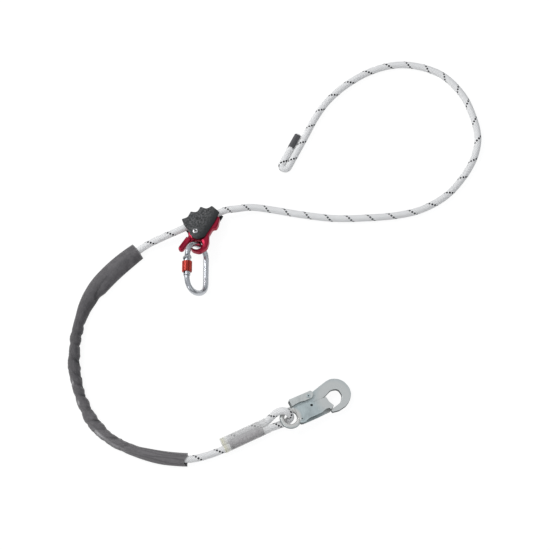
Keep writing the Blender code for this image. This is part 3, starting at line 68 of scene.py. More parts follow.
def make_camera():
    """A camera that looks along +Y and down: its lens is sensor width times distance over view width."""
    data = bpy.data.cameras.new("camera")
    data.sensor_width = 36
    data.lens = data.sensor_width * CAMERA_DISTANCE / VIEW_WIDTH
    data.clip_end = 20
    camera = bpy.data.objects.new("camera", data)
    bpy.context.scene.collection.objects.link(camera)
    back = Vector((0, -math.cos(CAMERA_ELEVATION), math.sin(CAMERA_ELEVATION)))
    camera.location = Vector(LAYOUT_MIDDLE) + back * CAMERA_DISTANCE
    camera.rotation_euler = (-back).to_track_quat("-Z", "Y").to_euler()
    bpy.context.scene.camera = camera
    return data


print(f"lens {make_camera().lens:.1f} mm")

# %% [markdown]
# ## The rope's route
#
# A rope is a fixed length that lies where it was put down. Its route is a short list of given points,
# in metres on the ground, and a smooth curve passes through them all. The same list made the solids,
# so the new rope lies exactly where they are. It has three stretches: the sewn eye round the hook's
# ring, the long free stretch, and the folded stop.

# %% Sizes of the rope
ROPE_DIAMETER = 0.0125
ROPE_RADIUS = ROPE_DIAMETER / 2
GROUND_GAP = 0.0002
CLEARANCE = 0.0003
LEG_OFFSET = ROPE_RADIUS + 0.00025
LABEL_LENGTH = 0.086
LABEL_JOINT_DEPTH = 0.014
LABEL_HEIGHT = 0.00805
LABEL_TURN = math.radians(25.5)
LABEL_END = LAYOUT_MIDDLE + [-0.013, -0.2814, 0]
SLEEVE_REACH = 0.00705
STOP_LENGTH = 0.068
STOP_TAIL_SHARE = 0.97
STOP_TURN = math.radians(62.9)
STOP_FOLD = LAYOUT_MIDDLE + [0.0187, 0.2110, ROPE_RADIUS + GROUND_GAP]
RUN_LOW, RUN_HIGH = -0.0536, 0.04205
RISE_RUN_SHARE = 6
LABEL_RISE_RUN = 0.033
EYE_STRAIGHT = 0.0075

# The rope's route on the ground, then its way round the hook's ring, from the ring's centre
TO_ADJUSTER = [
    (-0.120, -0.336), (-0.152, -0.342), (-0.215, -0.334), (-0.258, -0.321), (-0.291, -0.302),
    (-0.318, -0.272), (-0.336, -0.241), (-0.3485, -0.2045), (-0.354, -0.165), (-0.353, -0.122),
    (-0.345, -0.082), (-0.328, -0.038), (-0.297, -0.002), (-0.262, 0.031), (-0.231, 0.054),
    (-0.208, 0.065),
]
TO_STOP = [
    (-0.070, 0.1225), (-0.045, 0.127), (-0.010, 0.1245), (0.050, 0.114), (0.108, 0.107),
    (0.166, 0.108), (0.222, 0.113), (0.268, 0.125), (0.312, 0.151), (0.344, 0.187), (0.366, 0.226),
    (0.375, 0.266), (0.368, 0.309), (0.350, 0.354), (0.315, 0.394), (0.270, 0.4135),
    (0.225, 0.4165), (0.178, 0.403), (0.134, 0.376), (0.098, 0.342), (0.074, 0.306),
]
HOOK_EYE = np.array([0.0407, -0.0079, 0])
ROUND_RING = [
    (-0.0300, 0.0006, 0.0069), (-0.0190, -0.0004, 0.0066), (-0.0100, -0.0009, 0.0072),
    (-0.0034, -0.0002, 0.0104), (0.0006, 0.0012, 0.0162), (0.0012, 0.0042, 0.0228),
    (-0.0010, 0.0084, 0.0279), (-0.0058, 0.0130, 0.0300), (-0.0128, 0.0165, 0.0278),
    (-0.0204, 0.0178, 0.0214), (-0.0282, 0.0171, 0.0144), (-0.0354, 0.0154, 0.0102),
]

# %% [markdown]
# A Bezier curve object could lie here too, but its points and lengths would have to be read back from
# it. Worked out as arrays, the same path serves the rope and the sleeve.

# %% Curves through points


def placed(points, turn, origin):
    """Points turned about Z (x cos - y sin, x sin + y cos) and then moved to the origin."""
    c, s = math.cos(turn), math.sin(turn)
    return np.asarray(points, float) @ np.array([[c, s, 0], [-s, c, 0], [0, 0, 1]]) + origin


def through(knots, step):
    """A smooth curve through the knots.

    Between two knots it is the cubic whose end slopes are, at each knot, the chord from the knot
    before to the knot after, scaled by this span's share of the two spans.
    """
    knots = np.asarray(knots, float)
    padded = np.vstack([2 * knots[0] - knots[1], knots, 2 * knots[-1] - knots[-2]])
    spans = np.linalg.norm(np.diff(padded, axis=0), axis=1)
    pieces = []
    for i in range(len(knots) - 1):
        before, here, on, after = padded[i:i + 4]
        leave = (on - before) * spans[i + 1] / (spans[i] + spans[i + 1])
        arrive = (after - here) * spans[i + 1] / (spans[i + 1] + spans[i + 2])
        t = np.linspace(0, 1, max(2, math.ceil(spans[i + 1] / step)), endpoint=False)[:, None]
        pieces.append(
            here * (2 * t**3 - 3 * t**2 + 1) + leave * (t**3 - 2 * t**2 + t)
            + on * (3 * t**2 - 2 * t**3) + arrive * (t**3 - t**2)
        )
    return np.vstack([*pieces, knots[-1:]])


def distances(path):
    """How far along the path each of its points is."""
    return np.concatenate([[0], np.cumsum(np.linalg.norm(np.diff(path, axis=0), axis=1))])


def evenly(path, step):
    """The same path with its points one step apart."""
    passed = distances(path)
    wanted = np.linspace(0, passed[-1], max(2, round(passed[-1] / step) + 1))
    return np.column_stack([np.interp(wanted, passed, path[:, k]) for k in range(3)])


# %% The route's three stretches


def lifted(points, near, run, resting):
    """Ground points at the resting height, raised toward the near point's height within the run."""
    flat = np.asarray(points, float) + LAYOUT_MIDDLE[:2]
    far = np.clip(np.linalg.norm(flat - near[:2], axis=1) / run, 0, 1)
    share = far * far * (3 - 2 * far)
    return np.column_stack([flat, near[2] + (resting - near[2]) * share])


def eye_route():
    """From the tail's cut end, round the hook's ring and back to the standing leg."""
    lane = lambda x, side: (x, side * LEG_OFFSET, LABEL_HEIGHT)
    start = -LABEL_LENGTH + LABEL_JOINT_DEPTH
    knots = [lane(-LABEL_LENGTH + CLEARANCE, 1), lane(-LABEL_LENGTH / 2, 1)]
    knots += [lane(-EYE_STRAIGHT, 1), lane(0, 1)]
    knots += [tuple(HOOK_EYE + point) for point in ROUND_RING[::-1]]
    knots += [lane(0, -1), lane(-EYE_STRAIGHT, -1), lane(start / 2, -1), lane(start, -1)]
    return placed(knots, LABEL_TURN, LABEL_END)


def free_route():
    """From inside the label, through the sleeve and the adjuster, round to the stop."""
    slide = joints["adjuster_slide"]
    middle, along = np.array(slide["pos_m"]), np.array(slide["axis"])
    run = middle + along * np.linspace(RUN_LOW, RUN_HIGH, 4)[:, None]
    in_label = [(-LABEL_LENGTH + past, -LEG_OFFSET, LABEL_HEIGHT) for past in (LABEL_JOINT_DEPTH, -CLEARANCE)]
    start, mouth = placed(in_label, LABEL_TURN, LABEL_END)[:, None]
    rise = RISE_RUN_SHARE * middle[2]
    first = lifted(TO_ADJUSTER[:1], mouth[0], LABEL_RISE_RUN, SLEEVE_REACH + GROUND_GAP)
    before = lifted(TO_ADJUSTER[1:], run[0], rise, SLEEVE_REACH + GROUND_GAP)
    after = lifted(TO_STOP, run[-1], rise, ROPE_RADIUS + GROUND_GAP)
    end = placed([(STOP_LENGTH, -LEG_OFFSET, 0)], STOP_TURN, STOP_FOLD)
    return np.vstack([start, mouth, first, before, run, after, end])


def stop_route():
    """Down the stop's standing leg, half a circle round the fold, and back up the tail."""
    angles = -math.pi / 2 - np.linspace(0, math.pi, 13)
    fold = np.column_stack([LEG_OFFSET * np.cos(angles), LEG_OFFSET * np.sin(angles), 0 * angles])
    tail = STOP_LENGTH * STOP_TAIL_SHARE
    knots = [(STOP_LENGTH, -LEG_OFFSET, 0), (STOP_LENGTH / 2, -LEG_OFFSET, 0), *fold]
    knots += [(tail / 2, LEG_OFFSET, 0), (tail, LEG_OFFSET, 0)]
    return placed(knots, STOP_TURN, STOP_FOLD)


FINE, ROPE_STEP = 0.001, 0.0016
eye_path = through(eye_route(), FINE)
free_path = through(free_route(), FINE)
stop_path = through(stop_route(), FINE)
rope_path = evenly(np.vstack([eye_path, free_path[1:], stop_path[1:]]), ROPE_STEP)

# %% [markdown]
# ## Surfaces on a grid
#
# Every new piece is a function of two parameters: rows along it, columns round it. The rows are carried
# along a path by directions that turn with it. `surface` turns such a grid of points into a mesh, with
# a UV map that counts metres along it, so that a weave or a braid keeps its scale however it bends.

# %% Grids into meshes


def carried(path):
    """Directions across and up at each point, turned as little as possible from one to the next."""
    along = np.gradient(path, axis=0)
    along /= np.linalg.norm(along, axis=1)[:, None]
    across = np.empty_like(path)
    across[0] = np.cross(along[0], (0, 0, 1))
    for i in range(1, len(path)):
        across[i] = across[i - 1] - along[i] * (across[i - 1] @ along[i])
        across[i] /= np.linalg.norm(across[i])
    across[0] /= np.linalg.norm(across[0])
    return across, np.cross(across, along)


def surface(name, grid, round_uv, along_uv, caps=False):
    """A mesh on a grid of points whose last column joins the first; caps fills both ends."""
    rows, columns = grid.shape[:2]
    index = np.arange(rows * columns).reshape(rows, columns)
    on = np.roll(index, -1, axis=1)
    faces = np.stack([index[:-1], on[:-1], on[1:], index[1:]], axis=-1).reshape(-1, 4).tolist()
    u = np.append(round_uv, round_uv[-1] + (round_uv[-1] - round_uv[-2]))
    cell = np.zeros((rows - 1, columns, 4, 2))
    cell[..., 0] = np.stack([u[:-1], u[1:], u[1:], u[:-1]], axis=-1)[None]
    v = np.asarray(along_uv)
    cell[..., 1] = np.stack([v[:-1], v[:-1], v[1:], v[1:]], axis=-1)[:, None]
    uv = cell.reshape(-1, 2)
    if caps:
        faces += [index[0].tolist()[::-1], index[-1].tolist()]
        ends = np.column_stack([np.tile(u[:columns], 2), np.repeat([v[0], v[-1]], columns)])
        uv = np.vstack([uv, ends])
    mesh = bpy.data.meshes.new(name)
    mesh.from_pydata(grid.reshape(-1, 3), [], faces)
    layer = mesh.uv_layers.new(name="UVMap")
    layer.data.foreach_set("uv", uv.astype(np.float32).ravel())
    mesh.shade_smooth()
    return mesh


def outward(mesh):
    """Turns a closed mesh's faces outward."""
    shape = bmesh.new()
    shape.from_mesh(mesh)
    bmesh.ops.recalc_face_normals(shape, faces=shape.faces)
    shape.to_mesh(mesh)
    shape.free()
    return mesh


def piece(name, mesh, material, body, slot, *nodes):
    """An object at the origin with its material, riding its body in place of the solid nodes."""
    made = bpy.data.objects.new(name, mesh)
    bpy.context.scene.collection.objects.link(made)
    mesh.materials.clear()
    mesh.materials.append(material)
    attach(made, body)
    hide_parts(*nodes)
    return made


# %% [markdown]
# ## Writing materials
#
# A material is a small graph of nodes. These helpers add one node a call and hand back its output, so
# that a pattern reads like a formula.

# %% Helpers for materials


def material(name, colour, roughness, metallic=0.0):
    """A new Principled material, and its node tree."""
    made = bpy.data.materials.new(name)
    made.use_nodes = True
    tree = made.node_tree
    shader = tree.nodes["Principled BSDF"]
    shader.inputs["Base Color"].default_value = (*colour, 1)
    shader.inputs["Roughness"].default_value = roughness
    shader.inputs["Metallic"].default_value = metallic
    return made, tree, shader


def put(tree, socket, value):
    """Sets an input to a number, a colour or another node's output."""
    if isinstance(value, bpy.types.NodeSocket):
        tree.links.new(value, socket)
    elif isinstance(value, tuple) and socket.type == "RGBA" and len(value) == 3:
        socket.default_value = (*value, 1)
    else:
        socket.default_value = value


def sums(tree, operation, first, second=0.0):
    """One arithmetic step."""
    node = tree.nodes.new("ShaderNodeMath")
    node.operation = operation
    put(tree, node.inputs[0], first)
    put(tree, node.inputs[1], second)
    return node.outputs[0]


def product(tree, first, second):
    """The two numbers multiplied."""
    return sums(tree, "MULTIPLY", first, second)


def mixed(tree, share, first, second):
    """The first colour where the share is 0, and the second where it is 1."""
    node = tree.nodes.new("ShaderNodeMix")
    node.data_type = "RGBA"
    put(tree, node.inputs[0], share)
    put(tree, node.inputs[6], first)
    put(tree, node.inputs[7], second)
    return node.outputs[2]


def ramp(tree, value, low, high, start=0.0, stop=1.0):
    """The value's way from low to high, as a number from start to stop, held at both ends."""
    node = tree.nodes.new("ShaderNodeMapRange")
    for socket, given in zip(node.inputs[:5], (value, low, high, start, stop)):
        put(tree, socket, given)
    return node.outputs[0]


def noise(tree, scale, detail=3.0, roughness=0.55, stretch=(1, 1, 1)):
    """Cloudy noise in the object's own metres, finer as the scale grows."""
    place = tree.nodes.new("ShaderNodeTexCoord")
    mapping = tree.nodes.new("ShaderNodeMapping")
    mapping.inputs["Scale"].default_value = stretch
    tree.links.new(place.outputs["Object"], mapping.inputs["Vector"])
    node = tree.nodes.new("ShaderNodeTexNoise")
    node.inputs["Scale"].default_value = scale
    node.inputs["Detail"].default_value = detail
    node.inputs["Roughness"].default_value = roughness
    tree.links.new(mapping.outputs[0], node.inputs["Vector"])
    return node.outputs["Fac"]


def bumped(tree, shader, height, distance, strength=1.0):
    """Lets the height, times the distance in metres, tilt the surface's shading."""
    node = tree.nodes.new("ShaderNodeBump")
    node.inputs["Strength"].default_value = strength
    node.inputs["Distance"].default_value = distance
    put(tree, node.inputs["Height"], height)
    tree.links.new(node.outputs[0], shader.inputs["Normal"])


def mark(tree, name):
    """A number that the mesh itself carries at each of its points."""
    node = tree.nodes.new("ShaderNodeAttribute")
    node.attribute_name = name
    return node.outputs["Fac"]


def split(tree, vector):
    """A vector's three numbers."""
    node = tree.nodes.new("ShaderNodeSeparateXYZ")
    tree.links.new(vector, node.inputs[0])
    return tuple(node.outputs)


def local_axes(tree, place, turn):
    """How far a point is from the place along X, Y and Z, after these are turned by Euler angles."""
    spot = tree.nodes.new("ShaderNodeTexCoord")
    turned = tree.nodes.new("ShaderNodeMapping")
    turned.vector_type = "TEXTURE"
    turned.inputs["Location"].default_value = place
    turned.inputs["Rotation"].default_value = turn
    tree.links.new(spot.outputs["Object"], turned.inputs["Vector"])
    return split(tree, turned.outputs[0])


def reach(tree, first, second):
    """The distance from an axis: the square root of the sum of two squares."""
    squares = (product(tree, side, side) for side in (first, second))
    return sums(tree, "SQRT", sums(tree, "ADD", *squares))


def uv_axes(tree):
    """The two numbers of the piece's UV map: round it (0 to 1) and along it (metres)."""
    place = tree.nodes.new("ShaderNodeTexCoord")
    return split(tree, place.outputs["UV"])[:2]


# %% [markdown]
# ## Rope
#
# The sheath of a kernmantle rope is braided from two families of yarns that wind round it in opposite
# directions, each passing over and under the other. One yarn is dark, and it shows as a slanting row
# of four dots at each of its turns. Hundreds of modelled yarns would be far too many faces for lines
# that are half a millimetre high, so the rope is one tube and the braid is a pattern on its UV map,
# which follows every bend. A yarn's number is its place round the rope plus or minus its way along
# it, and where the two numbers' whole parts add up to an even number the first family is on top.

# %% The braid's material
YARNS = 10
BRAID_PITCH = 0.0386
YARN_RELIEF = 0.0005
ROPE_COLUMNS = 28
TRACER_DOT = 0.0021

# A real rope twists a little as it is handled, so its rows of dots aren't quite evenly spaced: distance
# along the rope, and how far the braid runs ahead there, both in metres
BRAID_LEAD = np.array([
    (0.000, 0.006), (0.130, 0.004), (0.177, 0.014), (0.215, 0.018), (0.350, 0.018), (0.924, 0.006),
    (0.964, 0.006), (1.076, 0.0080), (1.110, 0.0135), (1.222, 0.017), (1.417, 0.0175), (1.575, 0.0130),
    (1.625, 0.0060), (1.695, 0.0065), (1.735, 0.0120), (1.835, 0.0170), (1.871, 0.0185),
    (1.953, 0.0140), (2.032, 0.0115), (2.145, 0.0150), (2.260, 0.0150),
])


def rope_finish():
    """White sheath: each yarn's height is the sine of its own number's fraction, times pi."""
    made, tree, shader = material("braided_sheath", (0.80, 0.80, 0.785), 0.82)
    round_rope, along = uv_axes(tree)
    turns = sums(tree, "DIVIDE", along, BRAID_PITCH)
    first = product(tree, sums(tree, "ADD", round_rope, turns), YARNS)
    second = product(tree, sums(tree, "SUBTRACT", round_rope, turns), YARNS)
    both = sums(tree, "ADD", sums(tree, "FLOOR", first), sums(tree, "FLOOR", second))
    under = sums(tree, "FLOORED_MODULO", both, 2.0)
    arch = lambda yarn: sums(tree, "SINE", product(tree, sums(tree, "FRACT", yarn), math.pi))
    over_arch = mixed(tree, under, arch(first), arch(second))
    along_arch = mixed(tree, under, arch(second), arch(first))
    height = product(tree, sums(tree, "POWER", over_arch, 0.6), sums(tree, "POWER", along_arch, 0.35))
    # The dark yarn is number 0 of the first family. It shows as a dot wherever it comes to the top:
    # both numbers are then half past a whole, and their distance to the dot's middle is turned to metres
    apart = lambda number, every: sums(tree, "SUBTRACT", sums(
        tree, "FLOORED_MODULO", sums(tree, "ADD", number, every / 2 - 0.5), float(every)), every / 2)
    off_first, off_second = apart(first, YARNS), apart(second, 2)
    aside = product(tree, sums(tree, "ADD", off_first, off_second), math.tau * ROPE_RADIUS / 2 / YARNS)
    ahead = product(tree, sums(tree, "SUBTRACT", off_first, off_second), BRAID_PITCH / 2 / YARNS)
    squares = sums(tree, "ADD", product(tree, aside, aside), product(tree, ahead, ahead))
    dot = ramp(tree, sums(tree, "SQRT", squares), TRACER_DOT, TRACER_DOT - 0.0003)
    fibres = noise(tree, 900, 4.0)
    white = mixed(tree, ramp(tree, fibres, 0.3, 0.7), (0.80, 0.80, 0.795), (0.90, 0.90, 0.895))
    # Painted shade: the low places between the yarns are darkened
    painted_gap_shade = mixed(tree, ramp(tree, height, 0.05, 0.75), (0.50, 0.50, 0.51), white)
    put(tree, shader.inputs["Base Color"], mixed(tree, dot, painted_gap_shade, (0.012, 0.012, 0.015)))
    shader.inputs["Sheen Weight"].default_value = 0.15
    shader.inputs["Sheen Roughness"].default_value = 0.5
    rough = sums(tree, "ADD", height, product(tree, fibres, 0.35))
    bumped(tree, shader, rough, YARN_RELIEF, 0.6)
    return made


# %% The rope


def make_rope():
    """The tube: each row is the path's point plus the radius times (across cos a + up sin a)."""
    across, up = carried(rope_path)
    angles = np.linspace(0, math.tau, ROPE_COLUMNS, endpoint=False)
    ring = across[:, None] * np.cos(angles)[None, :, None] + up[:, None] * np.sin(angles)[None, :, None]
    grid = rope_path[:, None] + ROPE_RADIUS * ring
    passed = distances(rope_path)
    braid = passed + np.interp(passed, *BRAID_LEAD.T)
    mesh = surface("rope", grid, angles / math.tau, braid, caps=True)
    nodes = ("rope_main", "rope_hook_eye", "rope_stop_end")
    return piece("rope", outward(mesh), rope_finish(), "lanyard", "rope_white", *nodes)


rope = make_rope()
print(f"rope: {len(rope.data.polygons)} faces")

# %% [markdown]
# ## Protective sleeve
#
# A flat woven tube is slipped over the rope where it rubs on the trunk. Where it lies loose it stays
# wide and flat, like a hem over a cord, and where it follows the bend its inner side bunches into
# short pleats while the outer side stays stretched and smooth. A cloth simulation would find folds of
# its own, and never the ones that are wanted, so a table gives the half widths and the height along
# the length, and a few waves add the pleats between them.

# %% The sleeve's sections
SLEEVE_START = 0.0805
SLEEVE_LENGTH = 0.548
SLEEVE_WALL = 0.0005
SLEEVE_FLAT_WIDTH = 0.0180

# Share of the length from the hook end, then outer and inner half width and height, as shares of the
# flat half width
SLEEVE_SECTIONS = np.array([
    (0.000, 0.68, 0.65, 0.82), (0.032, 0.69, 0.65, 0.81), (0.076, 0.72, 0.62, 0.80),
    (0.105, 0.69, 0.60, 0.80), (0.134, 0.62, 0.58, 0.82), (0.163, 0.55, 0.50, 0.84),
    (0.193, 0.47, 0.51, 0.88), (0.207, 0.44, 0.40, 0.92), (0.236, 0.43, 0.46, 0.90),
    (0.258, 0.44, 0.40, 0.94), (0.280, 0.46, 0.40, 0.92), (0.302, 0.54, 0.48, 0.88),
    (0.324, 0.58, 0.44, 0.90), (0.338, 0.59, 0.40, 0.94), (0.358, 0.59, 0.49, 0.88),
    (0.382, 0.45, 0.40, 0.96), (0.404, 0.47, 0.51, 0.90), (0.426, 0.41, 0.40, 0.98),
    (0.450, 0.42, 0.46, 0.94), (0.470, 0.40, 0.42, 0.98), (0.484, 0.46, 0.53, 0.90),
    (0.506, 0.44, 0.42, 0.96), (0.530, 0.58, 0.49, 0.88), (0.548, 0.55, 0.40, 0.92),
    (0.572, 0.49, 0.48, 0.90), (0.600, 0.40, 0.40, 0.98), (0.615, 0.46, 0.46, 0.92),
    (0.632, 0.50, 0.42, 0.92), (0.659, 0.48, 0.55, 0.88), (0.674, 0.48, 0.46, 0.90),
    (0.703, 0.58, 0.59, 0.86), (0.733, 0.69, 0.67, 0.82), (0.762, 0.73, 0.83, 0.80),
    (0.784, 0.78, 0.87, 0.79), (0.795, 0.80, 0.85, 0.79), (0.820, 0.91, 1.05, 0.77),
    (0.849, 1.01, 1.01, 0.76), (0.879, 1.06, 0.97, 0.76), (0.923, 1.07, 0.96, 0.76),
    (0.960, 1.04, 0.94, 0.77), (1.000, 0.98, 0.88, 0.78),
])

# Ribs at the hook end: the place across the half width, and the height in metres
SLEEVE_RIBS = ((-0.55, 0.0007), (-0.10, 0.0006), (0.38, 0.0008), (0.72, 0.0005))
# Painted highlights: middle and half length as shares of the sleeve's length, and how strong each is
SLEEVE_GLINTS = ((0.23, 0.030, 0.5), (0.29, 0.022, 1.0), (0.41, 0.007, 0.8), (0.48, 0.010, 0.7))
SLEEVE_ROWS, SLEEVE_COLUMNS = 430, 72


def eased(share, column):
    """A table column read at each share, with the corners between its rows rounded off."""
    rows = SLEEVE_SECTIONS
    offsets = np.linspace(-0.008, 0.008, 9)
    values = np.interp(share[:, None] + offsets, rows[:, 0], rows[:, column]).mean(axis=1)
    return SLEEVE_FLAT_WIDTH * values


def zone(share, *corners):
    """0 outside the first and last corner, 1 between the two middle ones, and eased in between."""
    value = np.interp(share, corners, (0, 1, 1, 0))
    return value * value * (3 - 2 * value)


def sleeve_grid(path, share, angles):
    """The cloth's points and its marks, painted shade and highlight: rows along the path, columns round it.

    At an angle a the cloth lies half width times cos a to the side, the inner side of the bend being
    positive. From the side edge it rises by the height times sin a to a power: above 1 the cloth
    falls off like a tent, below 1 it stands like a wall.
    """
    along = np.gradient(path, axis=0)
    along /= np.linalg.norm(along, axis=1)[:, None]
    side = np.cross(along, (0, 0, 1))
    side /= np.linalg.norm(side, axis=1)[:, None]
    cos, sin = np.cos(angles)[None], np.sin(angles)[None]
    outer, inner = (np.maximum(eased(share, k), SLEEVE_REACH)[:, None] for k in (1, 2))
    wide = np.where(cos < 0, outer, inner)
    flat = np.clip((wide - SLEEVE_REACH) / SLEEVE_REACH, 0, 1)
    bunched = zone(share, 0.15, 0.24, 0.62, 0.72)[:, None]
    ribbed = zone(share, -0.01, 0.0, 0.10, 0.20)[:, None]
    folded = zone(share, 0.74, 0.80, 0.84, 0.97)[:, None]
    low, top = -SLEEVE_REACH, (2 * np.maximum(eased(share, 3) / 2, SLEEVE_REACH) - SLEEVE_REACH)[:, None]
    edge = low + (0.5 - 0.24 * flat) * (top - low)
    fall = 1 + 0.5 * flat - 1.0 * folded * np.clip(3 * cos, 0, 1)
    above = (top - edge) * np.abs(sin) ** fall
    below = (low - edge) * np.abs(sin) ** 0.65
    x, z = cos * wide, edge + np.where(sin > 0, above, below)
    # Bunches: rounded swellings between sharp creases that slant across the sleeve. The creases are
    # darkened as painted shade
    s = share[:, None] * SLEEVE_LENGTH
    lean = 0.85 + 0.45 * np.sin(math.tau * s / 0.131 + 0.8)
    slant = s + lean * x * np.where(sin > 0, 1, 0.3) + 0.0030 * np.sin(math.tau * s / 0.087)
    lobe = np.abs(np.sin(math.pi * (slant / SLEEVE_LENGTH - 0.426) / 0.044)) ** 0.7
    uneven = 0.68 + 0.32 * np.sin(math.tau * slant / 0.0617 + 2.1)
    fine = np.sin(math.tau * (slant + 0.3 * x) / 0.0079 + 1.9 * np.sin(math.tau * s / 0.043))
    swell = bunched * (0.0021 * lobe + 0.00045 * fine * (1.2 - lobe))
    crease_shade = bunched * uneven * np.clip(1.15 - 1.45 * lobe + 0.12 * fine, 0, 1) * np.clip(0.75 + cos, 0.25, 1)
    # The hook end is pulled straight: a few ribs run along it, with painted shade beside each. The wide
    # end has long soft dents
    across = x / wide
    for place, height in SLEEVE_RIBS:
        wander = place + 0.10 * np.sin(math.tau * s / 0.09 + 5 * place)
        rib = ribbed * (sin > 0) * np.exp(-(((across - wander) / 0.09) ** 2))
        beside = ribbed * (sin > 0) * np.exp(-(((across - wander + 0.14) / 0.07) ** 2))
        swell = swell + height * rib
        crease_shade = crease_shade + 0.55 * beside
    dents = np.sin(math.tau * (s / 0.083 + 0.30 * cos)) + 0.6 * np.sin(math.tau * (s / 0.047 - 0.45 * cos))
    swell = swell + 0.00035 * dents * (1 - bunched) * (1 - ribbed) * flat * np.clip(sin, 0, 1)
    # A fold runs slantwise from the inner edge, where the wide part begins, toward the wide end, and
    # it is darkened as painted shade
    run = s / SLEEVE_LENGTH - 0.775 - 0.085 * np.clip(1 - across, 0, 2) ** 1.5
    fold = np.exp(-((run * SLEEVE_LENGTH / 0.0065) ** 2)) * zone(across, -0.5, 0.9, 1.0, 1.3) * (sin > 0)
    swell = swell - 0.0012 * fold
    crease_shade = crease_shade + 0.85 * fold
    # Scallops along the inner edge, where the cloth is gathered
    gathers = zone(share, 0.16, 0.24, 0.66, 0.74)[:, None] * np.clip(cos, 0, 1) ** 3
    swell = swell + 0.0003 * gathers * np.sin(math.tau * s / 0.0135 + 1.5 * np.sin(math.tau * s / 0.06))
    length = np.sqrt(x * x + z * z)
    scale = np.maximum(length + swell, SLEEVE_REACH) / length
    x, z = x * scale, np.maximum(z * scale, low)
    grid = path[:, None] + side[:, None] * x[..., None] + np.array([0, 0, 1.0]) * z[..., None]
    # The open mouth at the hook end: its upper outer lip lies back and shows the dark inside
    lip = np.exp(-s / 0.011) * np.clip(sin + 0.2, 0, 1) * np.clip(0.35 - cos, 0, 1)
    # Painted highlights: the cloth is paler where it is stretched tight round the outside of the bend
    glint = np.zeros_like(x)
    for middle, half, strength in SLEEVE_GLINTS:
        stretched = np.exp(-(((s / SLEEVE_LENGTH - middle) / half) ** 2))
        glint = glint + strength * stretched * np.exp(-(((across + 0.72) / 0.16) ** 2)) * (sin > 0)
    marks = {"crease_shade": np.clip(crease_shade, 0, 1), "glint": np.clip(glint, 0, 1)}
    return grid + along[:, None] * (0.0060 * lip)[..., None], marks


# %% [markdown]
# The cloth is a dark plain weave, dusty at one end and rubbed pale in patches. The creases get painted
# shade and the stretched places painted highlights, and both follow the folds exactly because the mesh
# carries them as marks.

# %% The sleeve's material


def sleeve_finish():
    """Plain weave: the sine of the place round the sleeve times the sine of the way along it."""
    made, tree, shader = material("woven_sleeve", (0.10, 0.095, 0.10), 0.55)
    round_sleeve, along = uv_axes(tree)
    warp = sums(tree, "SINE", product(tree, round_sleeve, math.tau * 90))
    weft = sums(tree, "SINE", product(tree, along, math.tau / 0.0011))
    weave = product(tree, warp, weft)
    patches = noise(tree, 75, 3.0)
    specks = noise(tree, 420, 4.0, 0.7)
    cloud = sums(tree, "ADD", product(tree, patches, 0.7), product(tree, specks, 0.3))
    worn = mixed(tree, ramp(tree, cloud, 0.40, 0.62), (0.066, 0.062, 0.066), (0.172, 0.163, 0.170))
    threads = mixed(tree, ramp(tree, weave, -0.6, 0.9), (0.064, 0.060, 0.065), worn)
    # It is dustier near the hook, and painted shade makes it darkest where it is bunched most
    share = sums(tree, "DIVIDE", sums(tree, "SUBTRACT", along, SLEEVE_START), SLEEVE_LENGTH)
    dusty = product(tree, ramp(tree, share, 0.46, 0.18), 0.45)
    deep = product(tree, ramp(tree, share, 0.42, 0.56), ramp(tree, share, 0.90, 0.74, 0, 0.5))
    threads = mixed(tree, dusty, threads, (0.21, 0.20, 0.205))
    threads = mixed(tree, deep, threads, (0.036, 0.034, 0.037))
    # Painted shade darkens the creases, and painted highlights make the stretched places pale
    threads = mixed(tree, product(tree, mark(tree, "crease_shade"), 0.85), threads, (0.026, 0.025, 0.027))
    threads = mixed(tree, product(tree, mark(tree, "glint"), 0.85), threads, (0.46, 0.45, 0.46))
    # Both cut ends are sealed: a narrow paler line
    middle = SLEEVE_START + SLEEVE_LENGTH / 2
    from_middle = sums(tree, "ABSOLUTE", sums(tree, "SUBTRACT", along, middle))
    sealed = ramp(tree, from_middle, SLEEVE_LENGTH / 2 - 0.0022, SLEEVE_LENGTH / 2 - 0.0014, 0, 0.6)
    put(tree, shader.inputs["Base Color"], mixed(tree, sealed, threads, (0.24, 0.235, 0.24)))
    put(tree, shader.inputs["Roughness"], ramp(tree, patches, 0.3, 0.7, 0.38, 0.58))
    shader.inputs["Sheen Weight"].default_value = 0.10
    shader.inputs["Sheen Roughness"].default_value = 0.40
    height = sums(tree, "ADD", product(tree, weave, 0.5), product(tree, patches, 2.5))
    bumped(tree, shader, height, 0.0003, 0.6)
    return made


# %% The sleeve


def make_sleeve():
    """The cloth's outer face on its stretch of the rope's route, with its marks and a wall inside."""
    passed = distances(free_path)
    rows = np.linspace(SLEEVE_START, SLEEVE_START + SLEEVE_LENGTH, SLEEVE_ROWS)
    path = np.column_stack([np.interp(rows, passed, free_path[:, k]) for k in range(3)])
    share = (rows - SLEEVE_START) / SLEEVE_LENGTH
    angles = np.linspace(0, math.tau, SLEEVE_COLUMNS, endpoint=False)
    grid, marks = sleeve_grid(path, share, angles)
    mesh = outward(surface("sleeve", grid, angles / math.tau, rows))
    for name, values in marks.items():
        layer = mesh.attributes.new(name, "FLOAT", "POINT")
        layer.data.foreach_set("value", values.astype(np.float32).ravel())
    made = piece("sleeve", mesh, sleeve_finish(), "lanyard", "dark_fabric", "protective_sleeve")
    wall = made.modifiers.new("wall", "SOLIDIFY")
    wall.thickness = SLEEVE_WALL
    wall.offset = -1
    return made


sleeve = make_sleeve()
print(f"sleeve: {len(sleeve.data.polygons)} faces before its wall")

# %% [markdown]
# ## Metal pieces
#
# The solids of the hook, the adjuster and the carabiner already have the right shapes, but their edges
# are knife sharp and their arcs are made of a few straight lines. A copy of each has its loose triangles
# merged and its flat faces made whole. Its arcs get points between theirs, and a narrow bevel then
# rounds every edge, which is what catches the light on real metal.

# %% Rounder arcs
FLAT = math.radians(1)
CORNER = math.radians(40)
KNIFE_EDGE = math.radians(32)
LEAST_BULGE = 0.00002
SAME_POINT = 0.00002


